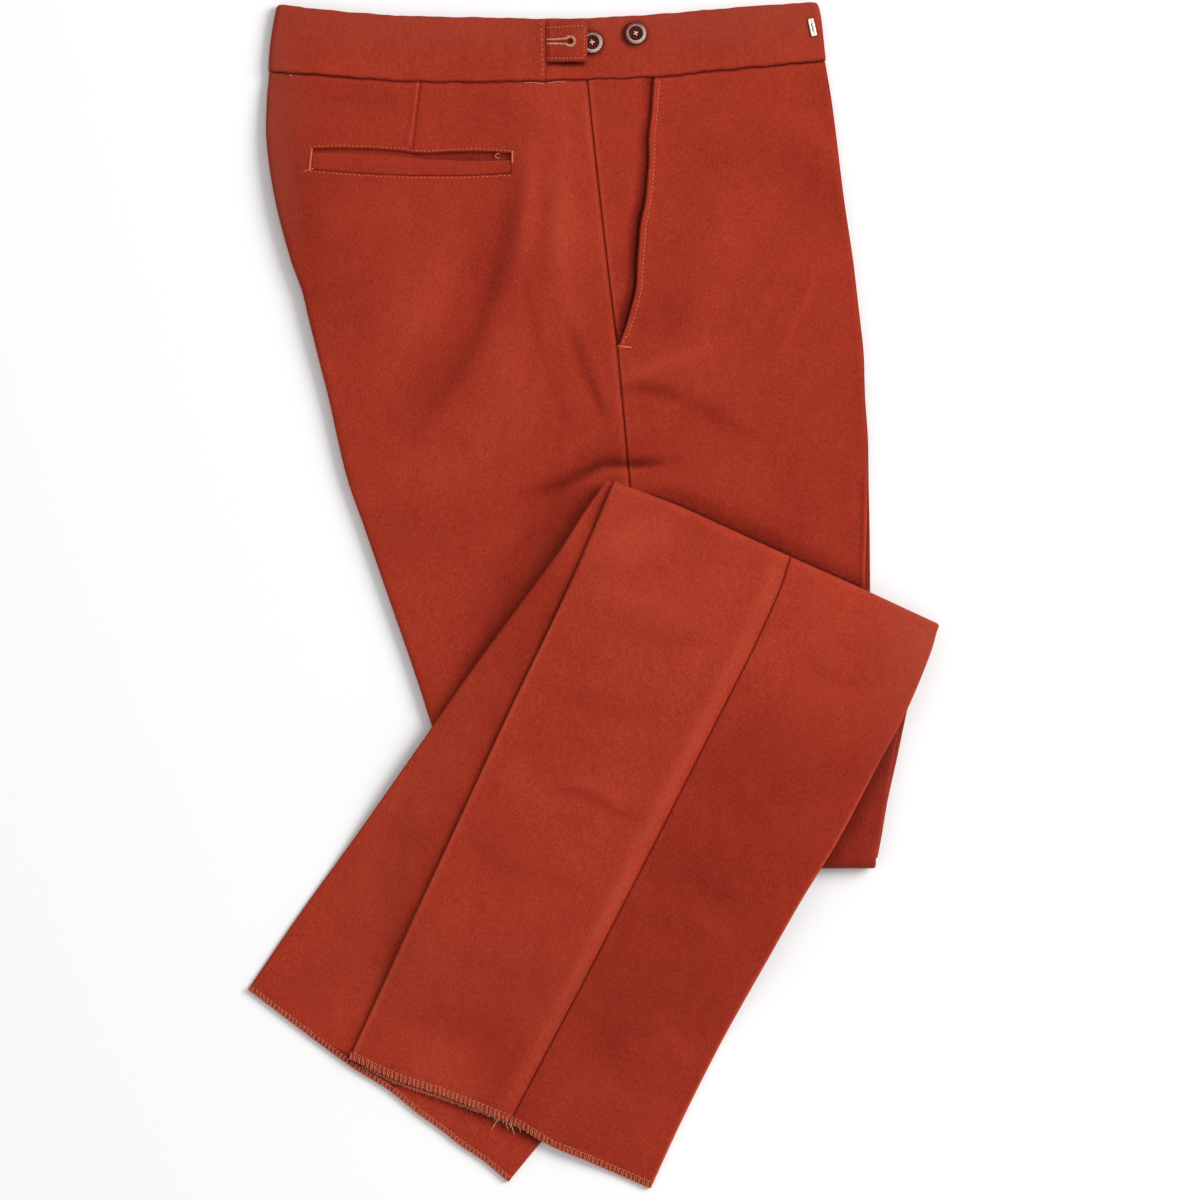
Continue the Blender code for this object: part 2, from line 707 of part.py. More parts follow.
def adjuster_tab():
    """The side adjuster's tab; its tip rides up on the button next to it."""
    rings = []
    corner = TAB["corner"]
    middle = (TAB["y1"] + TAB["y2"]) / 2
    half = (TAB["y2"] - TAB["y1"]) / 2
    places = [mix(TAB["x1"], TAB["x2"] - corner, i / 7) for i in range(8)]
    places += [TAB["x2"] - corner * (1 - math.sin(math.radians(a))) for a in (30, 60, 85)]
    for x in places:
        past = max(0.0, (x - (TAB["x2"] - corner)) / corner)
        width = half - corner * (1 - math.sqrt(max(0.0, 1 - past * past)))
        low = BAND_HIGH + SEAM_GAP + tab_lift(x)
        high = low + TAB["thick"]
        under, over = low + TAB["bevel"], high - TAB["bevel"]
        flat = width - TAB["slope"]
        rings.append([(x, middle - width, under), (x, middle - width, over),
                      (x, middle - flat, high), (x, middle + flat, high),
                      (x, middle + width, over), (x, middle + width, under),
                      (x, middle + flat, low), (x, middle - flat, low)])
    return finish(loft("adjuster_tab", rings, wall_caps=False), moleskin())


def turned_button(name, place):
    """A button turned about its own axis, with a round rim and a dished face."""
    shape = bmesh.new()
    rows = []
    for radius, high in BUTTON_PROFILE:
        sides = BUTTON_SIDES if radius > 0 else 1
        angles = [2 * math.pi * i / sides for i in range(sides)]
        ring = [(radius * math.cos(a), radius * math.sin(a), high) for a in angles]
        rows.append(add_points(shape, ring))
    for low, high in zip(rows, rows[1:]):
        for i in range(BUTTON_SIDES):
            j = (i + 1) % BUTTON_SIDES
            corners = [low[i % len(low)], low[j % len(low)], high[j % len(high)],
                       high[i % len(high)]]
            shape.faces.new(list(dict.fromkeys(corners)))
    button = add_part(name, shape)
    button.location = (place[0] * MM, place[1] * MM, (BAND_HIGH + SEAM_GAP) * MM)
    return finish(button, material("button_horn", HORN, 0.35))


def waist_bar():
    """The metal bar that takes the hook of the waistband's other end."""
    rings = []
    for end, inset in ((-0.5, BAR["end"]), (-0.47, 0.0), (0.47, 0.0), (0.5, BAR["end"])):
        half = BAR["wide"] / 2 - inset
        flat = half - BAR["bevel"]
        low, high = inset, BAR["thick"] - inset
        edge = high - BAR["bevel"]
        y = end * BAR["long"]
        rings.append([(-half, y, low), (half, y, low), (half, y, edge),
                      (flat, y, high), (-flat, y, high), (-half, y, edge)])
    bar = loft("waist_bar", rings, wall_caps=False)
    bar.location = (BAR["x"] * MM, BAR["y"] * MM, (BAND_HIGH + SEAM_GAP) * MM)
    bar.rotation_euler = (0.0, 0.0, -math.radians(BAR["turn"]))
    return finish(bar, material("bar_nickel", NICKEL, 0.3, 1.0))


def build():
    for thing in list(bpy.data.objects):
        bpy.data.objects.remove(thing, do_unlink=True)
    body_panel("right_back", True, False)
    body_panel("right_front", True, True)
    body_panel("left_back", False, False)
    body_panel("left_front", False, True)
    side_pocket_facing()
    hip_pocket_welt()
    body_inner_layers()
    left_knee_panels()
    knee_inner_layers()
    lower_legs()
    waistband()
    adjuster_tab()
    for name, place in BUTTONS.items():
        turned_button(name, place)
    waist_bar()


build()
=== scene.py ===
"""The looks of the moleskin trousers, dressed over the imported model.

Sizes and places are in millimetres and are turned into metres when a mesh is made.
+X points to the front of the trousers, +Y to the waist and +Z up. The cloth is made
as thin closed shells, from the same sections as the solids that they replace, with
finer rows and with the creases, seams and pocket edges that the solids leave out.
"""

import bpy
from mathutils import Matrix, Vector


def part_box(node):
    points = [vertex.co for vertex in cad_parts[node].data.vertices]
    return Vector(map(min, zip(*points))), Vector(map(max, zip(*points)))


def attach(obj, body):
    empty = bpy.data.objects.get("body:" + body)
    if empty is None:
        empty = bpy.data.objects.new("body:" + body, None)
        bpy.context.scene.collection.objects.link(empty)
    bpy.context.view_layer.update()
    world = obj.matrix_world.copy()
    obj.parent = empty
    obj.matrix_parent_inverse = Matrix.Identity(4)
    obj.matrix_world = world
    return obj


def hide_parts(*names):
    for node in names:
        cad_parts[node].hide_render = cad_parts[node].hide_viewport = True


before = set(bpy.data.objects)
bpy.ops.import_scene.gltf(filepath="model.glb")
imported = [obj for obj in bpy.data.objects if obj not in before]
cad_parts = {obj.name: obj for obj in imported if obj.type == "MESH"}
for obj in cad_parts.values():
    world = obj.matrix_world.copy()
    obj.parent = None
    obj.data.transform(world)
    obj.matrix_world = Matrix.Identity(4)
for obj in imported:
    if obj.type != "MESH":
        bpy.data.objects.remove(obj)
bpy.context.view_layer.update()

import math
from types import SimpleNamespace as Sizes

import bpy
import numpy as np
from numpy import array, clip, cos, exp, hypot, linspace, maximum, minimum, radians, sin, zeros

MM = 0.001
PI = math.pi
join = np.concatenate

# --- cloth and layers
CLOTH = 1.2
SEAM_GAP = 0.12  # air between two panels at a seam
BAND_SEAM_GAP = 0.3
LAYER_GAP = 0.5
TUBE = 2.9  # a pressed leg: two walls and the air between them
LAYER = TUBE + LAYER_GAP
STUB = 12  # how far a panel goes on under its crease
BODY_NOSE = 4  # how far the round of a body crease reaches
LEG_NOSE = 2.2
NOSE_STEPS = 8
# Distances from a seam at which a panel has its first points.
SEAM_PLACES = array((0, 0.25, 0.5, 0.8, 1.2, 1.8, 2.6, 3.8, 5.2))
CREASE_SHADE = 0.17  # painted shade per millimetre of crease depth; ridges get painted light
SEAM_TONE = 0.45
SMALLEST_SHEET = 10.2  # the least side that a sheet's flat cut is given
SHARP_ANGLE = math.radians(55)

# --- body, waist to knee
FOLD_Y = -185
BODY_END = FOLD_Y + 7.5
BODY_START = 357
BAND_DIP = 50  # how far down the rows of the body bend with the waistband's seam
# The usual widths of panels, which set how many columns they have, and a leg's length
# for its rows.
BODY_WIDTH = 190
LEG_WIDTH = 112
LEG_LENGTH = 425
# Height up the page, back crease, front crease, the left leg's front crease, height
# of both legs together.
BODY_SECTIONS = (
    (366, -220.6, 157.6, 157.6, 7.8), (357, -220.4, 159.3, 159.3, 7.8), (338, -222, 162.4, 162.4, 9.6),
    (310, -222.2, 166, 166, 11.6), (270, -216.4, 170.9, 170.9, 12.8), (229, -205.7, 177, 177, 12.8),
    (207, -197.8, 179.6, 179.6, 12.5), (188, -193.3, 181.8, 181.8, 12.2),
    (166, -187.8, 184.2, 184.3, 11.7), (134, -179.7, 185.2, 185.5, 11), (107, -173.8, 187, 187.4, 10.5),
    (79, -166.9, 186.8, 187.8, 10), (50, -156.7, 186.4, 188.4, 9.7), (4, -140.8, 185.1, 188.8, 9.5),
    (-57, -119.7, 186.5, 188.6, 9.5), (-110, -103, 188, 189.2, 9.5), (-185, -80, 191, 192, 9.5),
)
EDGE_FALL = 0.18
SIDE_SEAM = ((357, -4.6), (309, 0.3), (226, 9.6), (172, 16), (76, 25), (-185, 50))
POCKET_MOUTH = (
    (355, 41.2), (323, 38.9), (282, 36.4), (240, 31), (212, 28.6), (191, 24.6), (171, 17.4),
)
MOUTH_FOOT = 171
MOUTH_TOP = 352
FACING_FOOT = 171.6
MOUTH_TUCK = 12
MOUTH_STEP = 2.1
MOUTH_STITCH = 4.1  # from the pocket's edge to its row of stitches

# The largest soft folds, as the solids have them: both ends, half width, depth.
BODY_FOLDS = (
    (-62, 262, -128, 110, 30, 1.3), (-40, 270, 2, 205, 24, -0.9), (-12, 86, -78, 0, 30, 1.5),
    (86, 122, 150, 96, 28, 0.8),
)
# Finer creases: half width, depth (a ridge is negative), points along it.
BODY_CREASES = (
    (7, 1.2, ((-54, 300), (-58, 259), (-69, 208), (-94, 150), (-126, 108))),
    (16, 0.8, ((-62, 280), (-78, 214), (-104, 160), (-136, 112))),
    (6, -0.8, ((-43, 304), (-45, 262), (-52, 214))),
    (7, -0.7, ((-20, 304), (-22, 262), (-20, 206), (-10, 172))),
    (3, 0.4, ((-33, 288), (-34, 246), (-36, 196))), (3.5, 0.5, ((-47, 214), (-40, 180), (-34, 160))),
    (4.6, 1.2, ((-19, 188), (-12, 170), (-4, 148), (8, 120))),
    (2.8, 0.7, ((-6, 152), (1, 137), (9, 118))), (4, 0.45, ((-36, 164), (-27, 138), (-16, 110))),
    (14, -0.6, ((-56, 188), (-58, 160), (-50, 132))),
    (19, -0.8, ((-100, 240), (-112, 200), (-132, 158))), (13, 0.6, ((-164, 222), (-156, 178))),
    (24, -0.5, ((-68, 124), (-88, 98), (-108, 62))), (5, -1, ((21, 146), (44, 157), (78, 168))),
    (3, -0.5, ((48, 128), (70, 136), (88, 146))),
    (5.5, 0.95, ((22, 139), (46, 140), (78, 124), (116, 104))),
    (3.2, 0.9, ((13, 142), (28, 141), (42, 139), (58, 133))), (9, 0.5, ((46, 184), (64, 196))),
    (11, -0.4, ((88, 280), (90, 250), (86, 212))), (3, -0.35, ((160, 240), (141, 195), (116, 138))),
    (3.5, -0.3, ((122, 206), (112, 186), (103, 168))), (13, 0.6, ((112, 312), (140, 294), (160, 264))),
    (7, -0.4, ((130, 330), (154, 312), (166, 290))),
    (3.6, 1.7, ((-50, 70), (-29, 74), (-13, 81), (0, 87.5), (10, 91.5), (24, 91), (38, 91.2), (56, 92))),
    (8, 0.9, ((-48, 60), (-12, 88), (14, 97), (50, 100))),
    (7.5, 0.35, ((-52, 58), (-30, 70), (-8, 84), (8, 91))), (3, 0.7, ((22, 91), (35, 91), (49, 92.5))),
    (3.5, -0.7, ((-10, 75), (8, 83), (34, 85))),
    (12, 1.05, ((0, 76), (-30, 54), (-58, 14), (-88, -38))),
    (6, 0.9, ((36, 74), (70, 63), (120, 40), (178, 14))),
    (9, 0.4, ((-216, 350), (-210, 318), (-199, 270), (-186, 226))),
    (10, 0.35, ((-176, 350), (-150, 338), (-128, 330))),
    (14, -0.35, ((-186, 262), (-150, 262), (-120, 268))),
)
# A few broad ones for the half that lies below.
LEFT_CREASES = (
    (9, 0.5, ((-60, 290), (-72, 208), (-120, 120))), (12, 0.4, ((60, 300), (84, 220), (70, 130))),
    (9, 0.5, ((-110, 40), (-20, 70), (60, 60), (150, 90))),
    (14, 0.4, ((-40, -60), (60, -40), (150, -80))),
)
# Patches of painted shade: centre, half width and how much.
BODY_SHADE_PATCHES = (
    (-188, 262, 34, 0.09), (46, 196, 26, 0.1), (78, 126, 22, 0.06), (-24, 76, 13, 0.06),
    (104, 300, 60, 0.05), (-66, 322, 34, 0.1), (-94, 46, 28, 0.08), (138, 56, 36, 0.1),
    (56, 116, 18, 0.08),
)

# --- knees and lower legs
KNEE_BEND = 7  # how far the round of the lower fold reaches
# Height over the lower fold, back crease, seam, front crease of the left leg and of
# the right one.
KNEE_SECTIONS = (
    (0, -80, 66, 191, 192), (19, -73, 68, 194.6, 195.8), (47, -64, 71, 199.4, 200.6),
    (74, -54, 74, 204.2, 206.6), (101, -45, 77, 209.4, 212.3), (117, -40, 79, 213, 216.2),
    (148, -29, 84, 220, 227.5), (163, -24, 86, 224, 232.5), (260, 10, 100, 240, 248),
)
RIGHT_BEND = 5.6  # how far the rounds of the folds at the tops of the lower legs reach
LEFT_BEND = 2.8
LEFT_LEG_START = 5
FOLD_STUB = 5  # how far a lower leg goes on under its fold
HEM_NOMINAL = 428  # where the hems lie, roughly, and where the right one ends
HEM_END = 430
UNDER_SEAM = 0.55  # where the seam of a leg's lower side lies, as a share of its width
# Distance from the fold, back crease, seam, front crease.
RIGHT_LEG_SECTIONS = (
    (0, 1.8, 131.5, 243), (20, 2, 134, 245.5), (65, 2.2, 133.6, 246), (100, 1.6, 131.6, 243.1),
    (160, -0.8, 128, 238.6), (207, -2, 125.2, 232), (255, -3, 122.2, 227), (318, -4.5, 118.4, 221.2),
    (378, -5.7, 114.2, 217.8), (430, -6.8, 110.4, 216.7),
)
LEFT_LEG_SECTIONS = (
    (0, -1.2, 140, 249), (26, -1, 139, 248.6), (60, 1, 138, 248), (150, 0.6, 135, 243),
    (230, 2, 132, 238), (300, 3.2, 129, 233), (368, 3.6, 126.2, 229.4), (425, 5.4, 124.2, 226.2),
)
# Where the painted shadow in the crease over the folded legs is darkest.
ARCH = ((-16, 79), (-2, 86.2), (9, 90), (24, 89.6), (38, 90.2), (54, 91))
# How far down the hem lies, across the leg.
RIGHT_HEM = (
    (-6.5, 430), (26, 430.8), (62, 427.8), (112, 426.8), (143, 430.2), (168, 429.8), (216, 430),
)
LEFT_HEM = (
    (6, 425), (92.7, 426), (118, 424), (127, 423.8), (148, 425), (166, 424.8), (185, 425.4),
    (204, 424.8), (226, 426.4),
)
# How far the fold at the top of each leg bows out, across the leg.
RIGHT_FOLD = ((0, 2), (15, 2.3), (48, 3.9), (80, 3.4), (133, 2.5), (190, 2), (215, 1.4), (243, 0.8))
LEFT_FOLD = ((0, 4.8), (6, 4.2), (14, 1.6), (30, 0), (249, 0))
# Creases of the lower legs, with their points as (along, across) the leg.
RIGHT_LEG_CREASES = (
    (24, -0.9, ((22, 18), (34, 30), (50, 44))),
    (5.5, -0.9, ((12, 125), (90, 124), (210, 117), (330, 110), (430, 104))),
    (6, 0.4, ((92, 34), (84, 74), (76, 100))), (9, -0.4, ((70, 20), (66, 60), (58, 96))),
    (13, -0.7, ((204, 4), (214, 30), (218, 48))),
    (3.5, 0.7, ((210, 40), (203, 62), (204, 98), (198, 120))), (4.5, -0.5, ((196, 56), (194, 96))),
    (8, 0.4, ((150, 12), (146, 46), (136, 84))), (7, 0.4, ((262, 8), (268, 44), (262, 84))),
    (8, -0.3, ((290, 14), (292, 50))), (12, 0.4, ((336, 20), (340, 58), (334, 88))),
    (14, 0.5, ((372, 14), (380, 52), (374, 88))), (7, -0.4, ((400, 10), (402, 60))),
    (34, 0.7, ((126, 166), (190, 164), (250, 148))), (5, -0.4, ((150, 158), (158, 182), (160, 206))),
    (7, -0.45, ((236, 160), (250, 180), (254, 206))), (4, 0.4, ((222, 150), (228, 176), (222, 200))),
    (24, 0.6, ((330, 150), (368, 158))), (5, -0.6, ((322, 176), (336, 196), (340, 210))),
    (6, -0.4, ((374, 150), (384, 180))), (8, -0.4, ((418, 20), (416, 96))),
    (6, 0.4, ((58, 150), (62, 190), (54, 226))),
)
LEFT_LEG_CREASES = (
    (9, -0.8, ((30, 2), (52, 8), (84, 14))), (11, 0.7, ((58, 26), (96, 38), (124, 52))),
    (9, 0.5, ((176, 20), (188, 52))), (9, -0.4, ((214, 16), (226, 50))),
    (18, 0.5, ((262, 24), (288, 40))), (12, -0.35, ((330, 18), (342, 60))),
    (14, 0.4, ((392, 24), (404, 48))),
)
# Patches of painted light on the right lower leg.
RIGHT_LEG_LIGHT_PATCHES = ((-106, -251, 32, -0.13), (88, -155, 24, -0.12))
UNDER_PEEP = 2.8  # how far the right leg's lower layer shows under its hem
PEEP_MIDDLE = 52  # where it shows most, across the leg
# Loose threads at the hem: across the leg, how long, heading and bend.
FRAYED = (
    (102.8, 11, -0.15, 0.02), (105.4, 4.6, 0.7, -0.5), (107.6, 5.4, 0.2, 0.6), (109, 7.4, 0.9, -0.3),
    (111.4, 7.6, 0.5, 0.25), (112.6, 4.4, -0.6, 0.7),
)
# More of them in stretches of the hem: from, to, how many, longest.
FRAYED_STRETCHES = ((40, 98, 26, 3.4), (96, 112, 12, 4.6), (106, 120, 10, 4.4))
OVERLOCK_PITCH = 3.1

# --- how the stack settles: over what distance a layer comes down beside what carries it
REACH_MARGIN = 14
SIDE_DROP = 100
END_DROP = 110
KNEE_DROP = 60
LEG_DROP = 45
FRONT_DROOP = 0.4  # share of its height that an overhang in front loses
STACK = 16.8  # height of the body and the knees together
BRIDGE = 1.6  # how far the cloth spans above the hollow beside an edge

# --- waistband
BAND_WALL = 2.4
BAND_HIGH = 8.2
BAND_NOSE = 4
BAND_BACK_LEAN = 6
BAND_LEAN = 4  # how far the front end leans back, and how much more its corner does
BAND_ROUND = 2.2
BAND_BACK = -221
BAND_FRONT = 158.4
BAND_STEP = -32.6
# Distance along X, height of the seam and of the top edge.
BAND_SECTIONS = (
    (-221, 357.3, 403.8), (-178, 354.2, 398.9), (-131, 350.6, 395.3), (-77, 350, 394.1),
    (-20, 351.2, 393.2), (40, 353.2, 396), (87, 358, 400), (120, 361, 402.6), (158.4, 364.9, 404.7),
)

# --- pocket, dart, tab, buttons, bar
POCKET = Sizes(back=-191, side=-55.5, deep=1.5, sink=0.2, roll=1.4)
# Distance along X, lower edge of the welt, its upper edge, the lip above the opening.
WELT_EDGES = (
    (-195, 290.6, 301.4, 303.8), (-176, 289, 301.8, 304.8), (-150, 287.2, 300.6, 304.2),
    (-130, 286.3, 299, 302.8), (-118, 286, 297.6, 301.2), (-92, 286, 296.4, 302.3),
    (-75, 286.6, 296.2, 302.4), (-55.5, 287.8, 296.8, 301.2),
)
DART = ((351, -117.4), (326, -120.4), (303, -123))
DART_END = 301.5
# A small loop of thread by the pocket, and where the cloth is as high as under it.
LOOP = Sizes(x=-64.6, y=299.5, radius=1.6, beside_x=-64.4, beside_y=306)
FOOT_TACK = ((16.7, 26.4), (170.6, 169.4))  # under the slant pocket: its ends' x and y
BAND_TACKS = ((-207, 2.6), (-47.5, 14.5), (-31, 12))  # under the band: start and length
TAB = Sizes(x1=-32.2, x2=-3.7, y1=363.6, y2=390.6, thick=1.8, corner=4, lift=3.4,
            lift_from=-32, lift_to=-9.5)
HOLE = Sizes(y=377.4, end=-31.6, eye=-15.5, apart=1.4, flare=0.6, radius=3.15)
BUTTON_RADIUS = 7.95
# Radius and height of a button's upper face above its base.
BUTTON_FACE = (
    (0, 1.6), (3.6, 1.6), (4.4, 1.9), (5, 2.7), (5.6, 3), (6.6, 2.95), (7.4, 2.5), (7.95, 1.6),
)
# The same for its lower side.
BUTTON_BACK = ((BUTTON_RADIUS, 1.4), (7.4, 0.7), (5.6, 0), (0.15, 0))
BUTTON_HOLE = 1.9  # from the button's axis to the middle of a hole
RIM_HIGHLIGHT = -0.6  # the side on which the rim's painted highlight is brightest, in radians
BAR = Sizes(long=12.2, wide=3.7, turn=math.radians(12.6), corner=0.8)
BAR_SLOT = Sizes(long=6.4, half=0.34, aside=-0.25, deep=0.45)

# --- colours (linear)
RUST = (0.318, 0.0285, 0.0128)
# The ramp runs towards RUST_DARK for painted shade and towards RUST_LIGHT for painted light, with the nap's
# own patchiness.
RUST_DARK = (0.165, 0.0115, 0.0052)
RUST_LIGHT = (0.455, 0.06, 0.029)
# The colour of the painted sheen along edges that turn away.
RUST_EDGE_SHEEN = (0.29, 0.058, 0.034)
# The threads' materials and their colours.
THREADS = {
    "thread_salmon": (0.58, 0.19, 0.115),
    "thread_rust": (0.66, 0.225, 0.13),
    "thread_pale": (0.74, 0.4, 0.27),
    "thread_raw": (0.84, 0.56, 0.4),
    "thread_pink": (0.8, 0.42, 0.36),
}
HORN = (0.02, 0.006, 0.003)
HORN_WINE = (0.115, 0.008, 0.014)
# The colour of the painted highlight on the buttons' rims.
HORN_RIM_HIGHLIGHT = (0.5, 0.37, 0.32)
HORN_MIDDLE = (0.16, 0.055, 0.045)
NICKEL = (0.96, 0.92, 0.82)
# The colour of the painted shade in the bar's groove.
SLOT_SHADE = (0.07, 0.08, 0.06)


# --- small maths
def read(rows, at):
    """The columns of a table at many places, on a smooth curve through its rows."""
    table = array(sorted(rows), float)
    places, values = table[:, 0], table[:, 1:]
    at = clip(np.asarray(at, float), places[0], places[-1])
    low = clip(np.searchsorted(places, at, side="right") - 1, 0, len(places) - 2)
    high = low + 1
    span = (places[high] - places[low])[..., None]
    u = (at - places[low])[..., None] / span

    def slope(before, after):
        return (values[after] - values[before]) * span / (places[after] - places[before])[..., None]

    columns = ((2 * u**3 - 3 * u**2 + 1) * values[low]
               + (u**3 - 2 * u**2 + u) * slope(maximum(low - 1, 0), high)
               + (3 * u**2 - 2 * u**3) * values[high]
               + (u**3 - u**2) * slope(low, minimum(low + 2, len(places) - 1)))
    return np.moveaxis(columns, -1, 0)


def mix(a, b, share):
    return a + (b - a) * share


def ramp(x, start=0, over=1):
    """0 up to `start`, then softly up to 1; downwards from 1 if `over` is negative."""
    u = clip((x - start) / over, 0, 1)
    return u * u * (3 - 2 * u)


def bell(distance, half):
    return exp(-(distance / half) ** 2)


def rounded(u):
    """How far a quarter round falls away, 0 to 1."""
    return 1 - np.sqrt(1 - clip(u, 0, 1) ** 2)


def near_curve(x, y, points):
    """Distance from a smooth curve through points, and how far along it (0 to 1)."""
    rows = [(i, *point) for i, point in enumerate(points)]
    stops = linspace(0, len(points) - 1, 5 * (len(points) - 1) + 1)
    curve = np.stack(read(rows, stops), axis=-1)
    best, share = np.full(x.shape, np.inf), zeros(x.shape)
    for i, (start, end) in enumerate(zip(curve, curve[1:])):
        run = end - start
        along = clip(((x - start[0]) * run[0] + (y - start[1]) * run[1]) / (run @ run), 0, 1)
        away = hypot(x - start[0] - along * run[0], y - start[1] - along * run[1])
        share = np.where(away < best, (i + along) / (len(stops) - 1), share)
        best = minimum(away, best)
    return best, share


def crease_depth(x, y, creases):
    """How far soft creases lie below the plain form; each fades out at its ends."""
    x, y = np.broadcast_arrays(x, y)
    depth = zeros(x.shape)
    for half, deep, points in creases:
        low, high = np.min(points, axis=0) - 2.6 * half, np.max(points, axis=0) + 2.6 * half
        near = (x > low[0]) & (x < high[0]) & (y > low[1]) & (y < high[1])
        away, share = near_curve(x[near], y[near], points)
        ends = 0.35 + 0.65 * ramp(share, 0, 0.3) * ramp(share, 1, -0.3)
        depth[near] += deep * bell(away, half) * ends
    return depth


def ripples(x, y, high=0.16):
    """The slight unevenness of cloth that has been handled."""
    a = sin(x / 13 + 1.7 * sin(y / 31)) * sin(y / 17 + 1.3 * sin(x / 23))
    b = sin((x + y) / 29 + 0.8) * sin((x - 1.6 * y) / 37 + 1.2 * sin(x / 41))
    return high * (0.45 * a + b)


def spread(start, end, step, fine=()):
    """Places from start to end; `fine` lists stretches with a closer step of their own."""
    places = list(linspace(start, end, max(2, int(round(abs(end - start) / step)) + 1)))
    for low, high, close in fine:
        places = [p for p in places if not low < p < high]
        places += list(linspace(low, high, int(round((high - low) / close)) + 1))
    places = sorted(set(round(float(p), 6) for p in places))
    kept = [places[0]]
    for place in places[1:]:
        if place - kept[-1] > 1e-4 * abs(end - start):
            kept.append(place)
    return array(kept)


# --- body surface
def body_fold_depth(x, y):
    depth = 0
    for x1, y1, x2, y2, half, deep in BODY_FOLDS:
        length_sq = (x2 - x1) ** 2 + (y2 - y1) ** 2
        near = clip(((x - x1) * (x2 - x1) + (y - y1) * (y2 - y1)) / length_sq, 0, 1)
        away_sq = (x - mix(x1, x2, near)) ** 2 + (y - mix(y1, y2, near)) ** 2
        depth = depth + deep * exp(-away_sq / half**2)
    return depth


def plain_body_top(x, y):
    back, front, _, high = read(BODY_SECTIONS, y)
    across = clip((x - back) / (front - back), 0, 1)
    return high * (1 - EDGE_FALL * (2 * across - 1) ** 4)


def body_top(x, y):
    return plain_body_top(x, y) - body_fold_depth(x, y)


def band_wave(x):
    """The sewn edge of the waistband is not quite straight."""
    return 0.22 * sin(x / 5.1 + sin(x / 19)) + 0.16 * sin(x / 2.3 + 2 * sin(x / 11))


def band_seam(x):
    return read(BAND_SECTIONS, x)[0] + band_wave(x)


def ring_height(x, ring_y):
    """The upper rows of the body follow the dip of the waistband's seam."""
    share = maximum(0, 1 - (BODY_START - ring_y) / BAND_DIP)
    return mix(ring_y, band_seam(x) - BAND_SEAM_GAP, share)


def line_place(table, rows, column=0):
    """Where a line of the body crosses its rows, which bend with the waistband's seam."""
    place = read(table, rows)[column]
    return read(table, ring_height(place, rows))[column]


def mouth_wave(y):
    """The pocket's edge is a little uneven."""
    fade = ramp(y, MOUTH_FOOT, 12) * ramp(y, MOUTH_TOP, -10)
    return fade * (0.45 * sin(y / 10.5) + 0.25 * sin(y / 4.7 + 1))


def mouth_place(rows):
    place = line_place(POCKET_MOUTH, rows)
    return place + mouth_wave(ring_height(place, rows))


def seam_relief(away):
    """The rounded edge of a panel at its seam, with the allowance's ridge beside it."""
    return 0.22 * bell(away - 4, 4.5) - 0.75 * bell(away, 0.55) - 0.12 * bell(away, 1.8)


def dart_relief(x, y):
    away = x - read(DART, y)[0]
    return ramp(y, DART_END, 4) * (-0.75 * bell(away, 0.7) + 0.55 * bell(away + 1.9, 1.2)
                                   + 0.2 * bell(away - 5, 4))


def pocket_recess(x, y):
    """1 where the back panel sinks under the hip pocket's welt and opening."""
    low, _, lip = read(WELT_EDGES, x)
    return (ramp(x, POCKET.back, 0.9) * ramp(x, POCKET.side, -0.9)
            * ramp(y - low, -0.6, 0.7) * ramp(lip + 0.5 - y, 0, 0.6))


def hip_pocket_relief(x, y):
    low, _, lip = read(WELT_EDGES, x)
    near = ramp(x - POCKET.back, -5, 6) * ramp(x, POCKET.side + 5, -6)
    roll = 0.35 * bell(y - lip - 1.6, 2) + 0.25 * bell(y - low + 2, 2)
    stitched = 0.18 * bell(y - lip - 1.7, 0.7) + 0.18 * bell(y - low + 1.4, 0.7)
    return near * (roll - stitched) - POCKET.deep * pocket_recess(x, y)


def mouth_relief(x, y):
    """The padded edge of the front panel along the slant pocket, with its stitch line."""
    away = abs(x - read(POCKET_MOUTH, y)[0] - mouth_wave(y))
    return ramp(y, MOUTH_FOOT, 6) * (0.7 * bell(away, 5) - 0.25 * bell(away - MOUTH_STITCH, 0.8))


def body_relief(x, y):
    """What the right half's outer face has all over on top of the plain form."""
    return -crease_depth(x, y, BODY_CREASES) + ripples(x, y)


# --- stretches of leg
class Stretch:
    """A flat stretch of leg: `along` it from its fold, `across` it from its back."""

    def __init__(self, apex, down, front, sections, **looks):
        self.apex, self.down, self.front, self.sections = apex, down, front, sections
        self.__dict__.update(looks)

    def to_plan(self, along, across):
        return tuple(apex + down * along + front * across
                     for apex, down, front in zip(self.apex, self.down, self.front))

    def from_plan(self, x, y):
        dx, dy = x - self.apex[0], y - self.apex[1]
        return tuple(dx * way[0] + dy * way[1] for way in (self.down, self.front))

    def edges(self, along):
        return read(self.sections, along)


def leaning(degrees):
    """Which way is down a leg and which way is its front, for how far it leans."""
    sine, cosine = math.sin(math.radians(degrees)), math.cos(math.radians(degrees))
    return (-sine, -cosine), (cosine, -sine)


def carried(beyond, drop):
    """1 over what carries a layer and just beyond it, then softly down to 0."""
    return 1 - ramp(beyond, REACH_MARGIN, drop)


def thigh_level(x, y):
    back, _, front, _ = read(BODY_SECTIONS, y)
    before = mix(1 - FRONT_DROOP, 1, carried(x - front, KNEE_DROP))
    return ((plain_body_top(x, y) + LAYER_GAP) * carried(back - x, SIDE_DROP) * before
            * carried(FOLD_Y - y, END_DROP))


def over_knee(x, y, front_column):
    along, across = knee.from_plan(x, y)
    edges = knee.edges(along)
    return (carried(edges[0] - across, KNEE_DROP) * carried(across - edges[front_column], KNEE_DROP)
            * carried(-along, END_DROP))


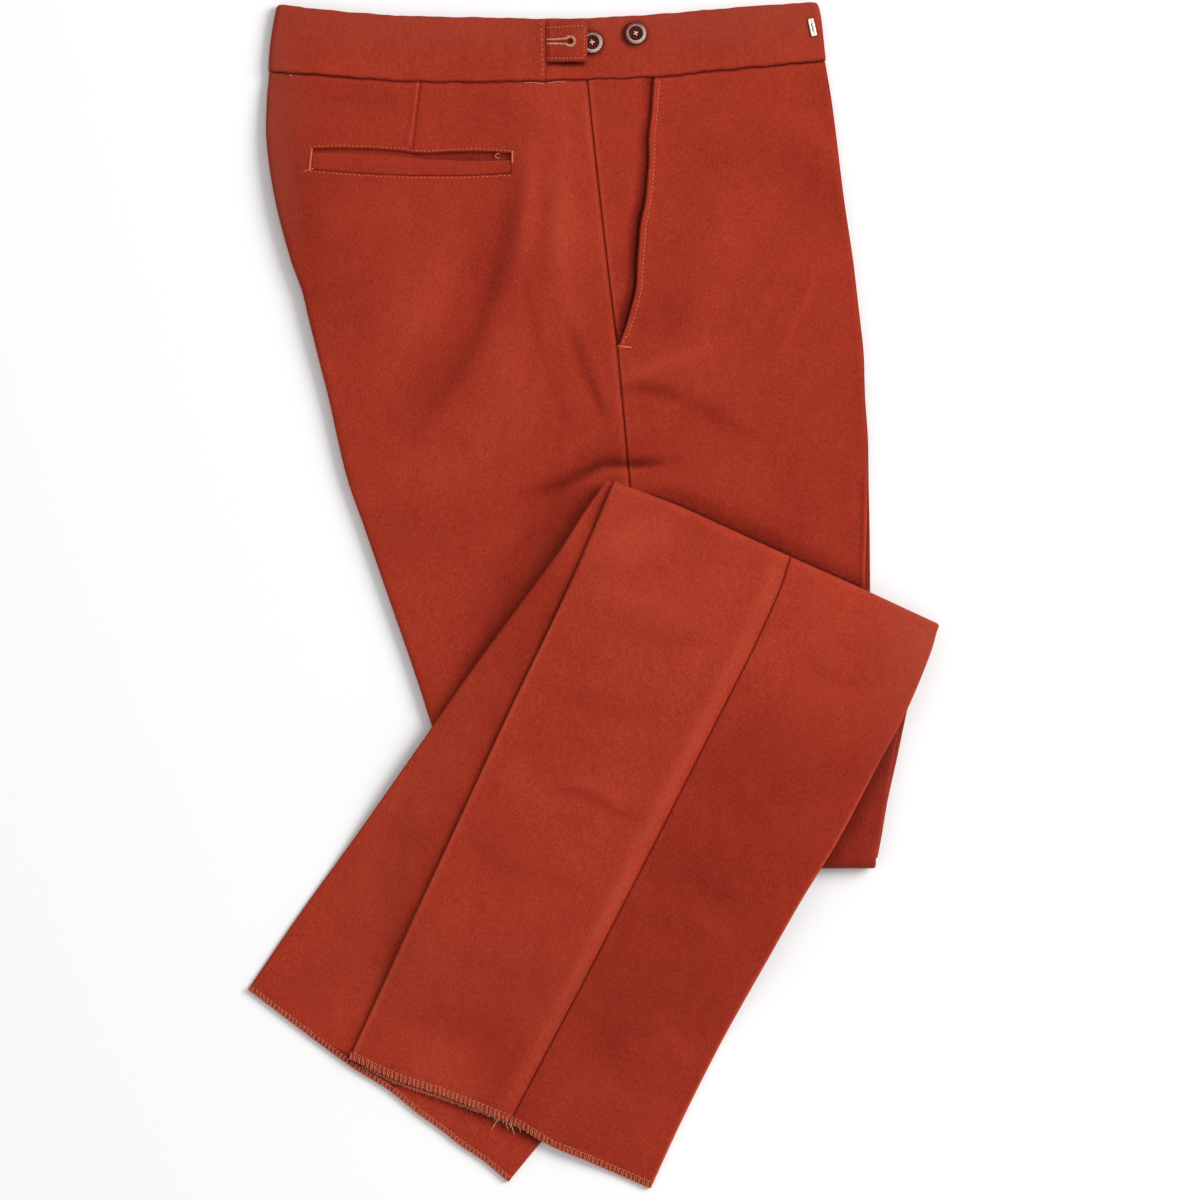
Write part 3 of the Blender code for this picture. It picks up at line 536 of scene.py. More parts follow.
def left_knee_floor(x, y):
    return thigh_level(x, y) + LAYER * over_knee(x, y, 3)


def left_knee_top(x, y):
    return left_knee_floor(x, y) + TUBE


def right_knee_top(x, y):
    return thigh_level(x, y) + TUBE


def bridge(share):
    share = clip(share, 0, 1)
    return BRIDGE * 4 * share * (1 - share)


def left_leg_top(x, y):
    along, _ = left_leg.from_plan(x, y)
    share = over_knee(x, y, 2) * carried(LEFT_LEG_START - along, LEG_DROP)
    return left_knee_floor(x, y) + LAYER * share + bridge(share) + TUBE


def right_leg_top(x, y):
    below = left_leg_top(x, y)
    along, across = left_leg.from_plan(x, y)
    over = carried(LEFT_LEG_START - along, LEG_DROP)
    over = over * carried(across - left_leg.edges(along)[2], LEG_DROP)
    return below + LAYER * over + bridge((below - TUBE) / STACK)


# --- meshes
def add_object(name, mesh, material, tone=None, node=""):
    """Adds a piece that rides on the trousers, and replaces a node if the model has it."""
    piece = bpy.data.objects.new(name, mesh)
    bpy.context.collection.objects.link(piece)
    mesh.materials.append(bpy.data.materials[material])
    mesh.shade_smooth()
    mesh.set_sharp_from_angle(angle=SHARP_ANGLE)
    if tone is not None:
        mesh.attributes.new("tone", "FLOAT", "POINT").data.foreach_set("value", np.ravel(tone))
    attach(piece, "root")
    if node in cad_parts:
        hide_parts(node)
    return piece


def make_mesh(name, points, faces):
    mesh = bpy.data.meshes.new(name)
    mesh.from_pydata((np.reshape(points, (-1, 3)) * MM).tolist(), [], faces)
    mesh.update()
    return mesh


def ring_faces(count, sides, first=0):
    """The numbers of the points in rings, and the four-sided faces between the rings."""
    place = first + np.arange(count * sides).reshape(count, sides)
    ahead = np.roll(place, -1, axis=1)
    faces = np.stack([place[:-1], ahead[:-1], ahead[1:], place[1:]], axis=-1)
    return place, faces.reshape(-1, 4)


def shell(name, outer, inner, material, tone, node):
    """A thin closed shell between two grids of points (rows x columns x 3)."""
    rows, columns = outer.shape[:2]
    ring = join([outer, inner[:, ::-1]], axis=1)
    place, faces = ring_faces(rows, 2 * columns)
    for row, turn in ((place[0], -1), (place[-1], 1)):
        facing = row[::-1]
        cap = np.stack([row[:columns - 1], row[1:columns], facing[1:columns], facing[:columns - 1]],
                       axis=-1)
        faces = join([faces, cap[:, ::turn]])
    a, b, c, d = (ring.reshape(-1, 3)[faces[:, i]] for i in range(4))
    if (a * np.cross(b, c)).sum() + (a * np.cross(c, d)).sum() < 0:
        faces = faces[:, ::-1]
    if tone is not None:
        tone = join([tone, tone[:, ::-1]], axis=1)
    return add_object(name, make_mesh(name, ring, faces.tolist()), material, tone, node)


def flat_cut(middle):
    """Width, length and area, in metres, of a grid of points laid out flat."""
    wide = np.linalg.norm(np.diff(middle, axis=1), axis=2).sum(axis=1).max()
    long = np.linalg.norm(np.diff(middle, axis=0), axis=2).sum(axis=0).max()
    first, second = middle[1:, 1:] - middle[:-1, :-1], middle[1:, :-1] - middle[:-1, 1:]
    area = np.linalg.norm(np.cross(first, second), axis=2).sum() / 2
    wide, long = max(wide, SMALLEST_SHEET), max(long, SMALLEST_SHEET)
    return (wide * MM, long * MM), min(area, wide * long) * MM * MM


def cloth(node, outer, inner, tone=None, replaced=None):
    """A shell of cloth; it is named after the node it replaces."""
    piece = shell("cloth_" + node, outer, inner, "moleskin_rust", tone, replaced or node)
    flat, area = flat_cut((outer + inner) / 2)


def grid(x, y, z):
    return np.stack(np.broadcast_arrays(x, y, z), axis=-1).astype(float)


# --- panels
def panel_profile(seam, crease, under, nose, shares, under_steps):
    """A panel's section in every row: from its seam, round the crease, to the seam under.

    Returns where the outer and the inner points lie across the leg, the share of the
    tube's thickness above them, their wall offset and how far they are from the seam.
    """
    seam, crease, under = (np.atleast_1d(np.asarray(v, float))[:, None]
                           for v in (seam, crease, under))
    side = np.sign(crease - seam)
    start = seam + side * SEAM_GAP / 2
    turn = crease - side * nose
    close = start + side * SEAM_PLACES
    flat = join([close, mix(close[:, -1:], turn, shares)], axis=1)
    angle = linspace(PI / 2, -PI / 2, NOSE_STEPS + 1)
    rise, bulge = sin(angle), cos(angle)
    below = mix(turn, under, linspace(0, 1, under_steps + 1)[1:])
    outer = join([flat, turn + side * nose * bulge, below], axis=1)
    inner = join([flat, turn + side * (nose - CLOTH) * bulge, below], axis=1)
    level, deep = zeros(flat.shape[1]), np.ones(below.shape[1])
    share = join([level, (1 - rise) / 2, deep])
    wall = join([level + CLOTH, CLOTH * rise, -CLOTH * deep])
    return outer, inner, share, wall, abs(outer - start)


def body_panel(name, is_right, is_front):
    step = 2.4 if is_right else 5
    fine_rows, fine_columns = (), ()
    if is_right:
        fine_rows = ((58, 104, 1.3), (345, 357, 1.2))
    if is_right and not is_front:
        fine_rows += ((281, 308, 0.75),)
        fine_columns = ((0.236, 0.252, 0.0024), (0.515, 0.553, 0.0028), (0.862, 0.88, 0.0028))
    rows = spread(BODY_END, BODY_START, step, fine_rows)
    side, column = -1, 0
    if is_front:
        side, column = 1, 1 if is_right else 2
    seam = line_place(SIDE_SEAM, rows)
    crease = line_place(BODY_SECTIONS, rows, column)
    if is_front and is_right:
        seam = np.where(rows > MOUTH_FOOT, maximum(mouth_place(rows), seam), seam)
    shares = spread(0, 1, step / BODY_WIDTH, fine_columns)[1:-1]
    outer_x, inner_x, share, wall, away = panel_profile(
        seam, crease, crease - side * STUB, BODY_NOSE, shares, under_steps=3)

    def surface(across, inside):
        y = ring_height(across, rows[:, None])
        plain = body_top(across, y)
        if not is_right:
            relief = ripples(across + 40, y - 25) - crease_depth(across, y, LEFT_CREASES)
        else:
            relief = body_relief(across, y)
        edge = 0 if inside else seam_relief(away) - 0.9 * bell(band_seam(across) - y, 1.6)
        if is_right and is_front and not inside:
            edge = edge + mouth_relief(across, y)
        elif is_right and not is_front and not inside:
            relief = relief + dart_relief(across, y) + hip_pocket_relief(across, y)
        elif is_right and not is_front:
            relief = relief - POCKET.deep * pocket_recess(across, y)
        depth = share * (plain / 2 - SEAM_GAP / 2) + (wall if inside else 0)
        above = (relief + edge) * (1 - share)
        if is_right:
            return grid(across, y, plain + above - depth)
        above_floor = maximum(depth - above * 0.4 * (share < 0.5), 0.2 if inside else 0)
        return grid(across, y, above_floor)

    outer, inner = surface(outer_x, False), surface(inner_x, True)
    tone = None
    if is_right:
        x, y = outer[..., 0], outer[..., 1]
        below_band = band_seam(x) - y
        # Dark seam lines with a painted highlight beside them, and a painted shadow under the waistband's
        # seam with a lighter rim below.
        tone = (painted_crease_shade(x, y, BODY_CREASES) + body_painted_light(x, y) - SEAM_TONE * bell(away, 0.8)
                + 0.12 * bell(away - 2.2, 1.3) - 0.55 * bell(below_band, 1)
                + 0.07 * bell(below_band - 2.6, 1.2))
    elif is_front:
        # A painted shadow along the left half's front crease.
        tone = -0.55 * bell(outer_x - crease[:, None], 5)
    cloth(name, outer, inner, tone)


# Painted shade in creases and painted light on ridges.
def painted_crease_shade(x, y, creases):
    return -CREASE_SHADE * crease_depth(x, y, creases)


def painted_patches(x, y, table):
    """Soft round patches of painted shade and painted light."""
    return sum(deep * bell(hypot(x - place_x, y - place_y), half)
               for place_x, place_y, half, deep in table)


def body_painted_light(x, y):
    """Painted light and shade on the body, apart from its creases: shadows, patches and highlights."""
    lip = read(WELT_EDGES, x)[2]
    shadow = pocket_recess(x, y) * (0.1 + 0.24 * ramp(x, -150, 60)
                                    + 0.5 * bell(minimum(y - lip, 0), 1.5))
    from_dart = x - read(DART, y)[0]
    dart = ramp(y, DART_END, 4) * (bell(from_dart + 1.7, 1) - 1.2 * bell(from_dart, 0.7))
    back, front = read(BODY_SECTIONS, y)[:2]
    seat_edge = bell(x - back, 22) * ramp(y, 150, 90)
    before = x - front
    low_part = ramp(y, 104, -40)
    front_edge = (0.05 * bell(before, 5) + 0.07 * bell(before, 24)
                  + 0.4 * (1 - low_part) * bell(before, 0.6)
                  + low_part * (0.24 * bell(before + 3, 1.3) - 0.34 * bell(before + 0.8, 0.42)))
    upper_seat = bell(x + 170, 60) * ramp(y, 268, 30)
    facing_side = bell(x + 22, 22) * ramp(y, 170, 60)
    return (-shadow + 0.22 * dart - 0.16 * seat_edge - front_edge - 0.06 * upper_seat
            + 0.1 * facing_side - painted_patches(x, y, BODY_SHADE_PATCHES) + painted_contact_shadow(x, y))


def painted_contact_shadow(x, y):
    """Painted shadow on the thigh beside and above the lower legs that lie on it, and in the arch crease."""
    along, across = left_leg.from_plan(x, y)
    beside = maximum(left_leg.edges(along)[0] - across, 0)
    wide = 7 + 9 * ramp(along, 120, -90)
    tone = -0.22 * ramp(along, -4, 70) * bell(beside, wide + 3) * (1 - 0.8 * bell(beside, 4.5))
    along, across = right_leg.from_plan(x, y)
    above = maximum(-along - read(RIGHT_FOLD, across)[0], 0)
    tone = tone - 0.6 * ramp(across, 16, 22) * bell(above, 1.5)
    tone = tone - ramp(across, 10, 45) * 0.3 * bell(above, 7)
    away, share = near_curve(x, y, ARCH)
    return tone - 0.36 * bell(away, 2.4) * ramp(share, 0, 0.6) * ramp(share, 1, -0.3)


def side_pocket_facing():
    rows = spread(FACING_FOOT, BODY_START, 2.6)
    seam = line_place(SIDE_SEAM, rows)[:, None] + SEAM_GAP / 2
    mouth = mouth_place(rows)[:, None]
    close = seam + SEAM_PLACES[:6]
    open_part = mix(close[:, -1:], mouth - 1, linspace(0, 1, 14)[1:])
    across = join([close, open_part, mouth + linspace(0, MOUTH_TUCK, 5)], axis=1)
    y = ring_height(across, rows[:, None])
    wide = 11 * ramp(rows, MOUTH_FOOT, 90)[:, None] + 1.5
    step = MOUTH_STEP * ramp(across - mouth + wide, 0, wide)
    away = across - seam
    top = body_top(across, y) + body_relief(across, y) - step
    # A painted shadow under the front panel's edge along the mouth, deeper low down; a painted highlight
    # beside the seam.
    deep = 0.4 + 0.5 * ramp(rows, 335, -90)[:, None]
    tone = (painted_crease_shade(across, y, BODY_CREASES) - SEAM_TONE * bell(away, 0.7)
            - deep * bell(across - mouth + 0.8, 5.2) - 0.02 + 0.22 * bell(away - 2, 1.3))
    cloth("side_pocket_facing", grid(across, y, top + seam_relief(away)),
          grid(across, y, top - CLOTH), tone)


def hip_pocket_welt():
    """The welt across the lower part of the opening, with its rounded upper edge."""
    x = spread(POCKET.back + 0.5, POCKET.side - 0.5, 1.6)
    low, high, _ = read(WELT_EDGES, x)
    share = join([linspace(0, 0.9, 12), (0.93, 0.96, 0.98, 1)])[:, None]
    y = mix(low + 0.35, high, share)
    roll = 0.9 * rounded((y - high + POCKET.roll) / POCKET.roll)
    top = body_top(x, y) + body_relief(x, y) - POCKET.sink
    crown = 0.25 * sin(PI * share) - 0.3 * bell(x - x[0], 2) - 0.3 * bell(x - x[-1], 2)
    tone = painted_crease_shade(x, y, BODY_CREASES) - 0.05 - 0.2 * bell(y - low, 0.8)
    cloth("hip_pocket_welt", grid(x, y, top + crown - roll - 0.4 * bell(y - low, 0.6)),
          grid(x, y, top - 1.15), tone)


def body_inner_layers():
    """The inner sides of both legs, which lie between the two halves of the body."""
    rows = spread(BODY_END, BODY_START - 8, 8)
    back, front = read(BODY_SECTIONS, rows)[:2, :, None]
    across = mix(back + STUB + 1, front - STUB - 1, linspace(0, 1, 46))
    y = ring_height(across, rows[:, None])
    half = body_top(across, y) / 2
    room = body_top(across, y) + body_relief(across, y) - CLOTH - LAYER_GAP
    pressed = maximum(half + 0.2 + CLOTH - room, 0)
    for name, lift, node, above in (("inner_right", 0.2, "body_inner_layers", CLOTH),
                                    ("inner_left", -0.2, None, 0)):
        near = half + lift - pressed + above
        cloth(name, grid(across, y, near), grid(across, y, near - CLOTH), replaced=node)


# --- folded legs
def fold_points(stretch, along, across, turn, bend, top, floor, share, wall, relief):
    """Points of one side of a leg's cloth, also round the fold at the leg's start."""
    turn = turn[:, None]
    face = (turn < 90) * cos(radians(minimum(turn, 90)))
    depth = share * TUBE + wall - relief * face * (1 - share)
    x, y = stretch.to_plan(along, across)
    high, low = top(x, y), floor(x, y)
    radius = (high - low) / 2
    angle = radians(turn)
    shift = bend * (radius - depth) / radius * sin(angle)
    x, y = stretch.to_plan(along - shift, across)
    return grid(x, y, high - radius + (radius - depth) * cos(angle))


def turn_rows(shares, steps, stub=0):
    """Rows from share 1 to the fold at share 0, then round it and, with a stub, on under it."""
    turns = linspace(0, 180, steps)[1:] if steps else array([])
    if stub:
        turns = join([turns, [180]])
    share, turn = join([shares, 0 * turns]), join([0 * shares, turns])
    extra = 0 * share
    extra[-1] = stub
    return share, turn, extra


def leg_panel(name, leg, is_front):
    shares = spread(0, 1, leg.step / LEG_LENGTH, ((0, 0.03, 0.006), (0.975, 1, 0.004)))[::-1]
    share_rows, turn, extra = turn_rows(shares, 19, FOLD_STUB)
    back, seam, front = leg.edges(mix(leg.start, HEM_NOMINAL, share_rows))
    side, crease = (1, front) if is_front else (-1, back)
    under = mix(back, front, UNDER_SEAM) + side * SEAM_GAP / 2
    shares = linspace(0, 1, int(LEG_WIDTH / leg.step))[1:-1]
    outer_x, inner_x, share, wall, away = panel_profile(
        seam, crease, under, LEG_NOSE, shares, under_steps=18)

    def surface(across, inside):
        hem_along = read(leg.hem, across)[0] + leg.peep * bell(across - PEEP_MIDDLE, PEEP_MIDDLE) * share
        along = mix(leg.start, hem_along, share_rows[:, None]) + extra[:, None]
        arch = read(leg.bow, across)[0] * (1 - ramp(along, 0, 60))
        relief = -crease_depth(along, across, leg.creases) + ripples(along, across + 90, 0.13)
        relief = relief + (0 if inside else seam_relief(away))
        return fold_points(leg, along - arch, across, turn, leg.bend, leg.top, leg.floor, share,
                           wall if inside else 0, relief), along

    outer, along = surface(outer_x, False)
    inner, _ = surface(inner_x, True)
    tone = (leg.tone(along, outer_x) + painted_crease_shade(along, outer_x, leg.creases)
            - SEAM_TONE * bell(away, 0.7) - 0.04 * ramp(along + 4.6 - read(leg.hem, outer_x)[0]))
    cloth(name, outer, inner, tone)


def right_leg_painted_light(along, across):
    """Painted light and shade: a darker front half away from the fold, highlights by the seam and edges."""
    back, seam, edge = right_leg.edges(along)
    front = ramp(across - seam, 0, 1.5)
    patches = 1 + 0.45 * sin(along / 13) * sin(along / 37 + 1)
    ridge = bell(across - seam + 7, 5) * (1 - front) * patches
    rim = bell(across - edge + 0.8, 0.8) * ramp(along, 90, 40)
    top = 0.05 * (1 - ramp(along, 60, 60))
    dark = ramp(along, 50, 90) * (1 - 0.35 * ramp(along, 250, 110))
    back_rim = bell(across - back - 1, 1.4) * ramp(along, 60, 60)
    before_seam = bell(across - 96, 22) * ramp(along, 350, 40)
    return (top + 0.02 - 0.17 * front * dark + 0.11 * ridge + 0.42 * rim + 0.38 * back_rim
            - 0.14 * before_seam - painted_patches(*right_leg.to_plan(along, across), RIGHT_LEG_LIGHT_PATCHES))


def left_leg_painted_shade(along, across):
    """Painted shadow along the edge and hem of the right leg, which lies on it; a painted highlight on this
    leg's back edge.
    """
    down, aside = right_leg.from_plan(*left_leg.to_plan(along, across))
    past_hem = maximum(down - HEM_END, 0)
    beside = hypot(maximum(right_leg.edges(down)[0] - aside, 0), past_hem)
    light_edge = 0.22 * bell(across - left_leg.edges(along)[0], 2.4) * ramp(along, 70, -40)
    under_hem = 0.4 * bell(past_hem, 4) * ramp(down, 426, 3)
    strip = 0.13 * bell(beside - 7, 16) * ramp(along, 60, 80) * ramp(along, 340, -90)
    return (0.1 - 0.06 * ramp(along, 290, 90) - 0.2 * ramp(along, 190, -120)
            - 0.08 * bell(beside, 1.5) - 0.12 * bell(beside, 7) - strip - under_hem + light_edge)


knee = Stretch((0, FOLD_Y), (0, 1), (1, 0), KNEE_SECTIONS)
right_leg = Stretch(
    (12, 77.5), *leaning(23.5), RIGHT_LEG_SECTIONS, hem=RIGHT_HEM, bow=RIGHT_FOLD,
    creases=RIGHT_LEG_CREASES, bend=RIGHT_BEND, start=RIGHT_BEND, step=2.4, peep=UNDER_PEEP,
    top=right_leg_top, floor=thigh_level, tone=right_leg_painted_light)
left_leg = Stretch(
    (11, 79), *leaning(36.1), LEFT_LEG_SECTIONS, hem=LEFT_HEM, bow=LEFT_FOLD,
    creases=LEFT_LEG_CREASES, bend=LEFT_BEND, start=LEFT_LEG_START + LEFT_BEND, step=3, peep=0,
    top=left_leg_top, floor=left_knee_floor, tone=left_leg_painted_shade)


def knee_painted_shade(x, y):
    """Painted shade over the whole knee, and a painted shadow next to the right leg, which lies across it.
    """
    down, aside = right_leg.from_plan(x, y)
    beside = maximum(aside - right_leg.edges(down)[2], 0)
    return -0.3 - 0.3 * bell(beside, 7)


def stretch_end(leg, across):
    """How far up from the lower fold a knee layer runs, to where a lower leg turns."""
    x, y = leg.to_plan(leg.start + FOLD_STUB + SEAM_GAP, 0)
    out = read(leg.bow, (across - x) / leg.front[0])[0] / leg.front[0]
    return y + leg.front[1] / leg.front[0] * (across - x) + out - FOLD_Y


def knee_line(column, share, leg):
    """Where a seam or crease of the knee crosses a row, which lies aslant."""
    across = np.full(len(share), float(knee.edges(KNEE_BEND)[column]))
    for _ in range(8):
        across = knee.edges(mix(KNEE_BEND, stretch_end(leg, across), share))[column]
    return across


def knee_panel(name, is_front, leg, column, top, floor, turned, replaced=None):
    """One panel of a knee stretch; a turned one goes on round the fold below it."""
    share_rows, turn, _ = turn_rows(linspace(1, 0, 60), 13 if turned else 0)
    seam = knee_line(1, share_rows, leg)
    crease = knee_line(column if is_front else 0, share_rows, leg)
    side = 1 if is_front else -1
    under = crease - side * (STUB if turned else 0.45 * abs(crease - seam))
    shares = linspace(0, 1, 44)[1:-1]
    outer_x, inner_x, share, wall, away = panel_profile(
        seam, crease, under, LEG_NOSE, shares, under_steps=4)

    def surface(across, inside):
        along = mix(KNEE_BEND, stretch_end(leg, across), share_rows[:, None])
        relief = ripples(across, along + 60, 0.12) + (0 if inside else seam_relief(away))
        return fold_points(knee, along, across, turn, KNEE_BEND, top, floor, share,
                           wall if inside else 0, relief)

    outer, inner = surface(outer_x, False), surface(inner_x, True)
    # A painted highlight along the crease's edge.
    tone = knee_painted_shade(outer[..., 0], outer[..., 1]) + 0.12 * bell(outer_x - crease[:, None], 1.4)
    cloth(name, outer, inner, tone, replaced=replaced)


def legs():
    def ground(x, y):
        return 0 * x

    for panel, is_front, inner_layers in (("back", False, None), ("front", True, "knee_inner_layers")):
        knee_panel(f"left_{panel}_knee", is_front, left_leg, 2, left_knee_top, ground, True)
        knee_panel(f"right_{panel}_knee", is_front, right_leg, 3, right_knee_top, thigh_level, False,
                   inner_layers)
    for panel, is_front in (("back", False), ("front", True)):
        leg_panel(f"right_{panel}_lower", right_leg, is_front)
        leg_panel(f"left_{panel}_lower", left_leg, is_front)


# --- waistband
def bar_place(x, y):
    """Along and across the bar, from a place measured from its middle."""
    sine, cosine = math.sin(BAR.turn), math.cos(BAR.turn)
    return y * cosine - x * sine, x * cosine + y * sine


def centre_of(node):
    """The middle of a node in plan, and how high it starts."""
    low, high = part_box(node)
    centre = (low + high) / 2 / MM
    return centre.x, centre.y, low.z / MM


def band_painted_shadow(x, y):
    """Painted shadows of the tab, the buttons and the bar, and painted shade at the band's back end."""
    length = ramp(x - TAB.x1, 0, 1.6) * ramp(TAB.x2 + 0.6 - x, 0, 4.5)
    under_tab = 1.1 * length * bell(y - TAB.y1 + 1, 1.5)
    around = 0
    for node in ("adjuster_button_back", "adjuster_button_front"):
        middle_x, middle_y, _ = centre_of(node)
        away = maximum(hypot(x - middle_x + 0.5, y - middle_y + 0.6) - BUTTON_RADIUS, 0)
        around = around + 0.35 * bell(away, 1.8)
    middle_x, middle_y, _ = centre_of("waist_bar")
    along, across = bar_place(x - middle_x + 0.25, y - middle_y + 0.25)
    away = hypot(maximum(abs(along) - BAR.long / 2 + 0.5, 0),
                 maximum(abs(across) - BAR.wide / 2 + 0.5, 0))
    around = around + 0.75 * bell(away - 0.5, 0.75)
    tall = ramp(y - TAB.y1 - 2, 0, 5) * ramp(TAB.y2 + 3 - y, 0, 3)
    return (-under_tab - 0.3 * tall * bell(x - TAB.x2 - 0.8, 1.4) - around
            - 0.14 * bell(x - BAND_BACK, 20))


def tab_ridge(away, share):
    """The back stretch is a little higher where the tab comes out from under its end."""
    return 0.7 * bell(away, 4) * ramp(share, 0.22, 0.1) * ramp(share, 1, -0.05)


def band_piece(name, x_from, x_to, is_right):
    """One stretch of the band; one that starts at the back has a round end there."""
    round_back, at_step = x_from == BAND_BACK, x_from == BAND_STEP
    fine_rows = ((0, 0.06, 0.01), (0.24, 0.34, 0.012), (0.93, 1, 0.01))
    if at_step:
        fine_rows += ((0.37, 0.77, 0.012),)
    rows = spread(0, 1, 1 / 26, fine_rows)[:, None]
    one = 1 / (x_to - x_from)
    front = 15 if at_step else 6
    columns = spread(0, 1, 2 * one, ((0, 6 * one, 0.5 * one), (1 - front * one, 1, 0.5 * one)))
    corner = 2.6 * rounded((rows - 0.94) / 0.06)
    start, end = x_from + 0 * rows, x_to + 0 * rows
    if round_back:
        start = x_from + BAND_BACK_LEAN * rows**1.8 + corner + BAND_NOSE
    if x_to == BAND_FRONT:
        end = x_to + (-BAND_LEAN * rows - BAND_ROUND * rows**8 - 0.5 * corner)
    middle = BAND_HIGH / 2 - SEAM_GAP / 2
    outer_x = inner_x = flat = mix(start, end, columns)
    outer_depth, inner_depth = 0 * columns, 0 * columns + BAND_WALL
    if round_back:
        angle = radians(linspace(90, 10, 9))
        outer_x = join([start - BAND_NOSE * sin(angle), flat], axis=1)
        inner_x = join([start + 0.5 - 0 * angle, flat[:, :1] + 0.5, flat[:, 1:]], axis=1)
        outer_depth = join([middle * (1 - cos(angle)), outer_depth])
        inner_depth = join([middle - (middle - BAND_WALL) * cos(angle), inner_depth])
    seam, top = read(BAND_SECTIONS, outer_x)
    top_edge, low_edge = (1 - rows) * (top - seam), rows * (top - seam)
    relief = (-1 * bell(top_edge, 0.8) - 0.9 * bell(low_edge, 0.6) + 0.3 * bell(low_edge - 3, 3)
              + 0.15 * bell(top_edge - 3, 2.5) + ripples(outer_x, rows * 60, 0.12)
              + 0.1 * sin(outer_x / 2.9 + sin(outer_x / 9)) * bell(low_edge - 2, 2.5))
    for edge, deep, half in ((start, 0.5, 1), (end, 0.4, 0.4))[round_back:]:
        near = abs(outer_x - edge)
        relief = relief - (deep * bell(near, half) - 0.25 * bell(near - 4, 3))
    if round_back and is_right:
        relief = relief + tab_ridge(near, rows)

    def surface(x, depth, lift):
        seam, top = read(BAND_SECTIONS, x)
        y = mix(seam + band_wave(x), top + 0.7 * band_wave(x + 60), rows)
        return grid(x, y, BAND_HIGH - depth + lift if is_right else maximum(depth - 0.4 * lift, 0))

    outer = surface(outer_x, outer_depth, relief * (1 - outer_depth / middle))
    # A painted shadow along the band's lower edge, painted shade along its top edge and at its front end.
    tone = 0.02 - 0.55 * bell(low_edge, 1.1) - 0.22 * bell(top_edge, 1.1)
    if x_to == BAND_FRONT:
        tone = tone - 0.4 * bell(outer_x - end, 0.6)
    if is_right:
        tone = tone + band_painted_shadow(outer[..., 0], outer[..., 1])
    cloth(name, outer, surface(inner_x, inner_depth, 0), tone)


# --- tab, buttons, bar
def tab_under(x):
    lift = TAB.lift * ramp(x, TAB.lift_from, TAB.lift_to - TAB.lift_from)
    return BAND_HIGH + 0.2 + lift


def tab_top(x, y):
    """The tab is thin where it comes out from under the back stretch of the band."""
    thick = TAB.thick * mix(0.1, 1, ramp(x - TAB.x1, 0, 3))
    return tab_under(x) + thick + 0 * y


def dense_ends(edge, ends, between):
    """Places from -1 to 1 that lie closer together beyond `edge`."""
    return join([linspace(-1, -edge, ends), linspace(-edge, edge, between)[1:-1],
                 linspace(edge, 1, ends)])


def adjuster_tab():
    """The side adjuster's tab; its tip rides up on the button next to it."""
    corner, half, middle = TAB.corner, (TAB.y2 - TAB.y1) / 2, (TAB.y1 + TAB.y2) / 2
    straight = spread(TAB.x1, TAB.x2 - corner, 0.5)
    angle = radians(linspace(0, 88, 12)[1:])
    x = join([straight, TAB.x2 - corner + corner * sin(angle)])[:, None]
    wide = half - join([0 * straight, corner * (1 - cos(angle))])[:, None]
    v = join([linspace(0, 0.06, 5), linspace(0.06, 0.94, 44)[1:-1], linspace(0.94, 1, 5)])
    y = middle + wide * (v * 2 - 1)
    x = np.broadcast_to(x, y.shape)
    edge = minimum(wide - abs(y - middle), TAB.x2 - x)
    slit = 0.7 * bell(y - HOLE.y, 0.35) * ramp(HOLE.eye - x, 0, 1.5)
    eye = ramp(2.2 - hypot(x - HOLE.eye, y - HOLE.y), 0, 0.7)
    relief = (-0.7 * bell(edge, 0.7) - 0.16 * bell(edge - 2, 0.6) + 0.15 * bell(edge - 0.9, 0.8)
              - 0.9 * maximum(slit, eye))
    inner = tab_under(x) + 0.25 * bell(edge, 0.7) * ramp(x, -31, 2)
    # Painted shade in the buttonhole's slit and eye, and along the tab's edges.
    cloth("adjuster_tab", grid(x, y, tab_top(x, y) + relief), grid(x, y, inner),
          -0.04 - 0.35 * slit - 1.1 * eye - 0.1 * bell(edge, 0.6))


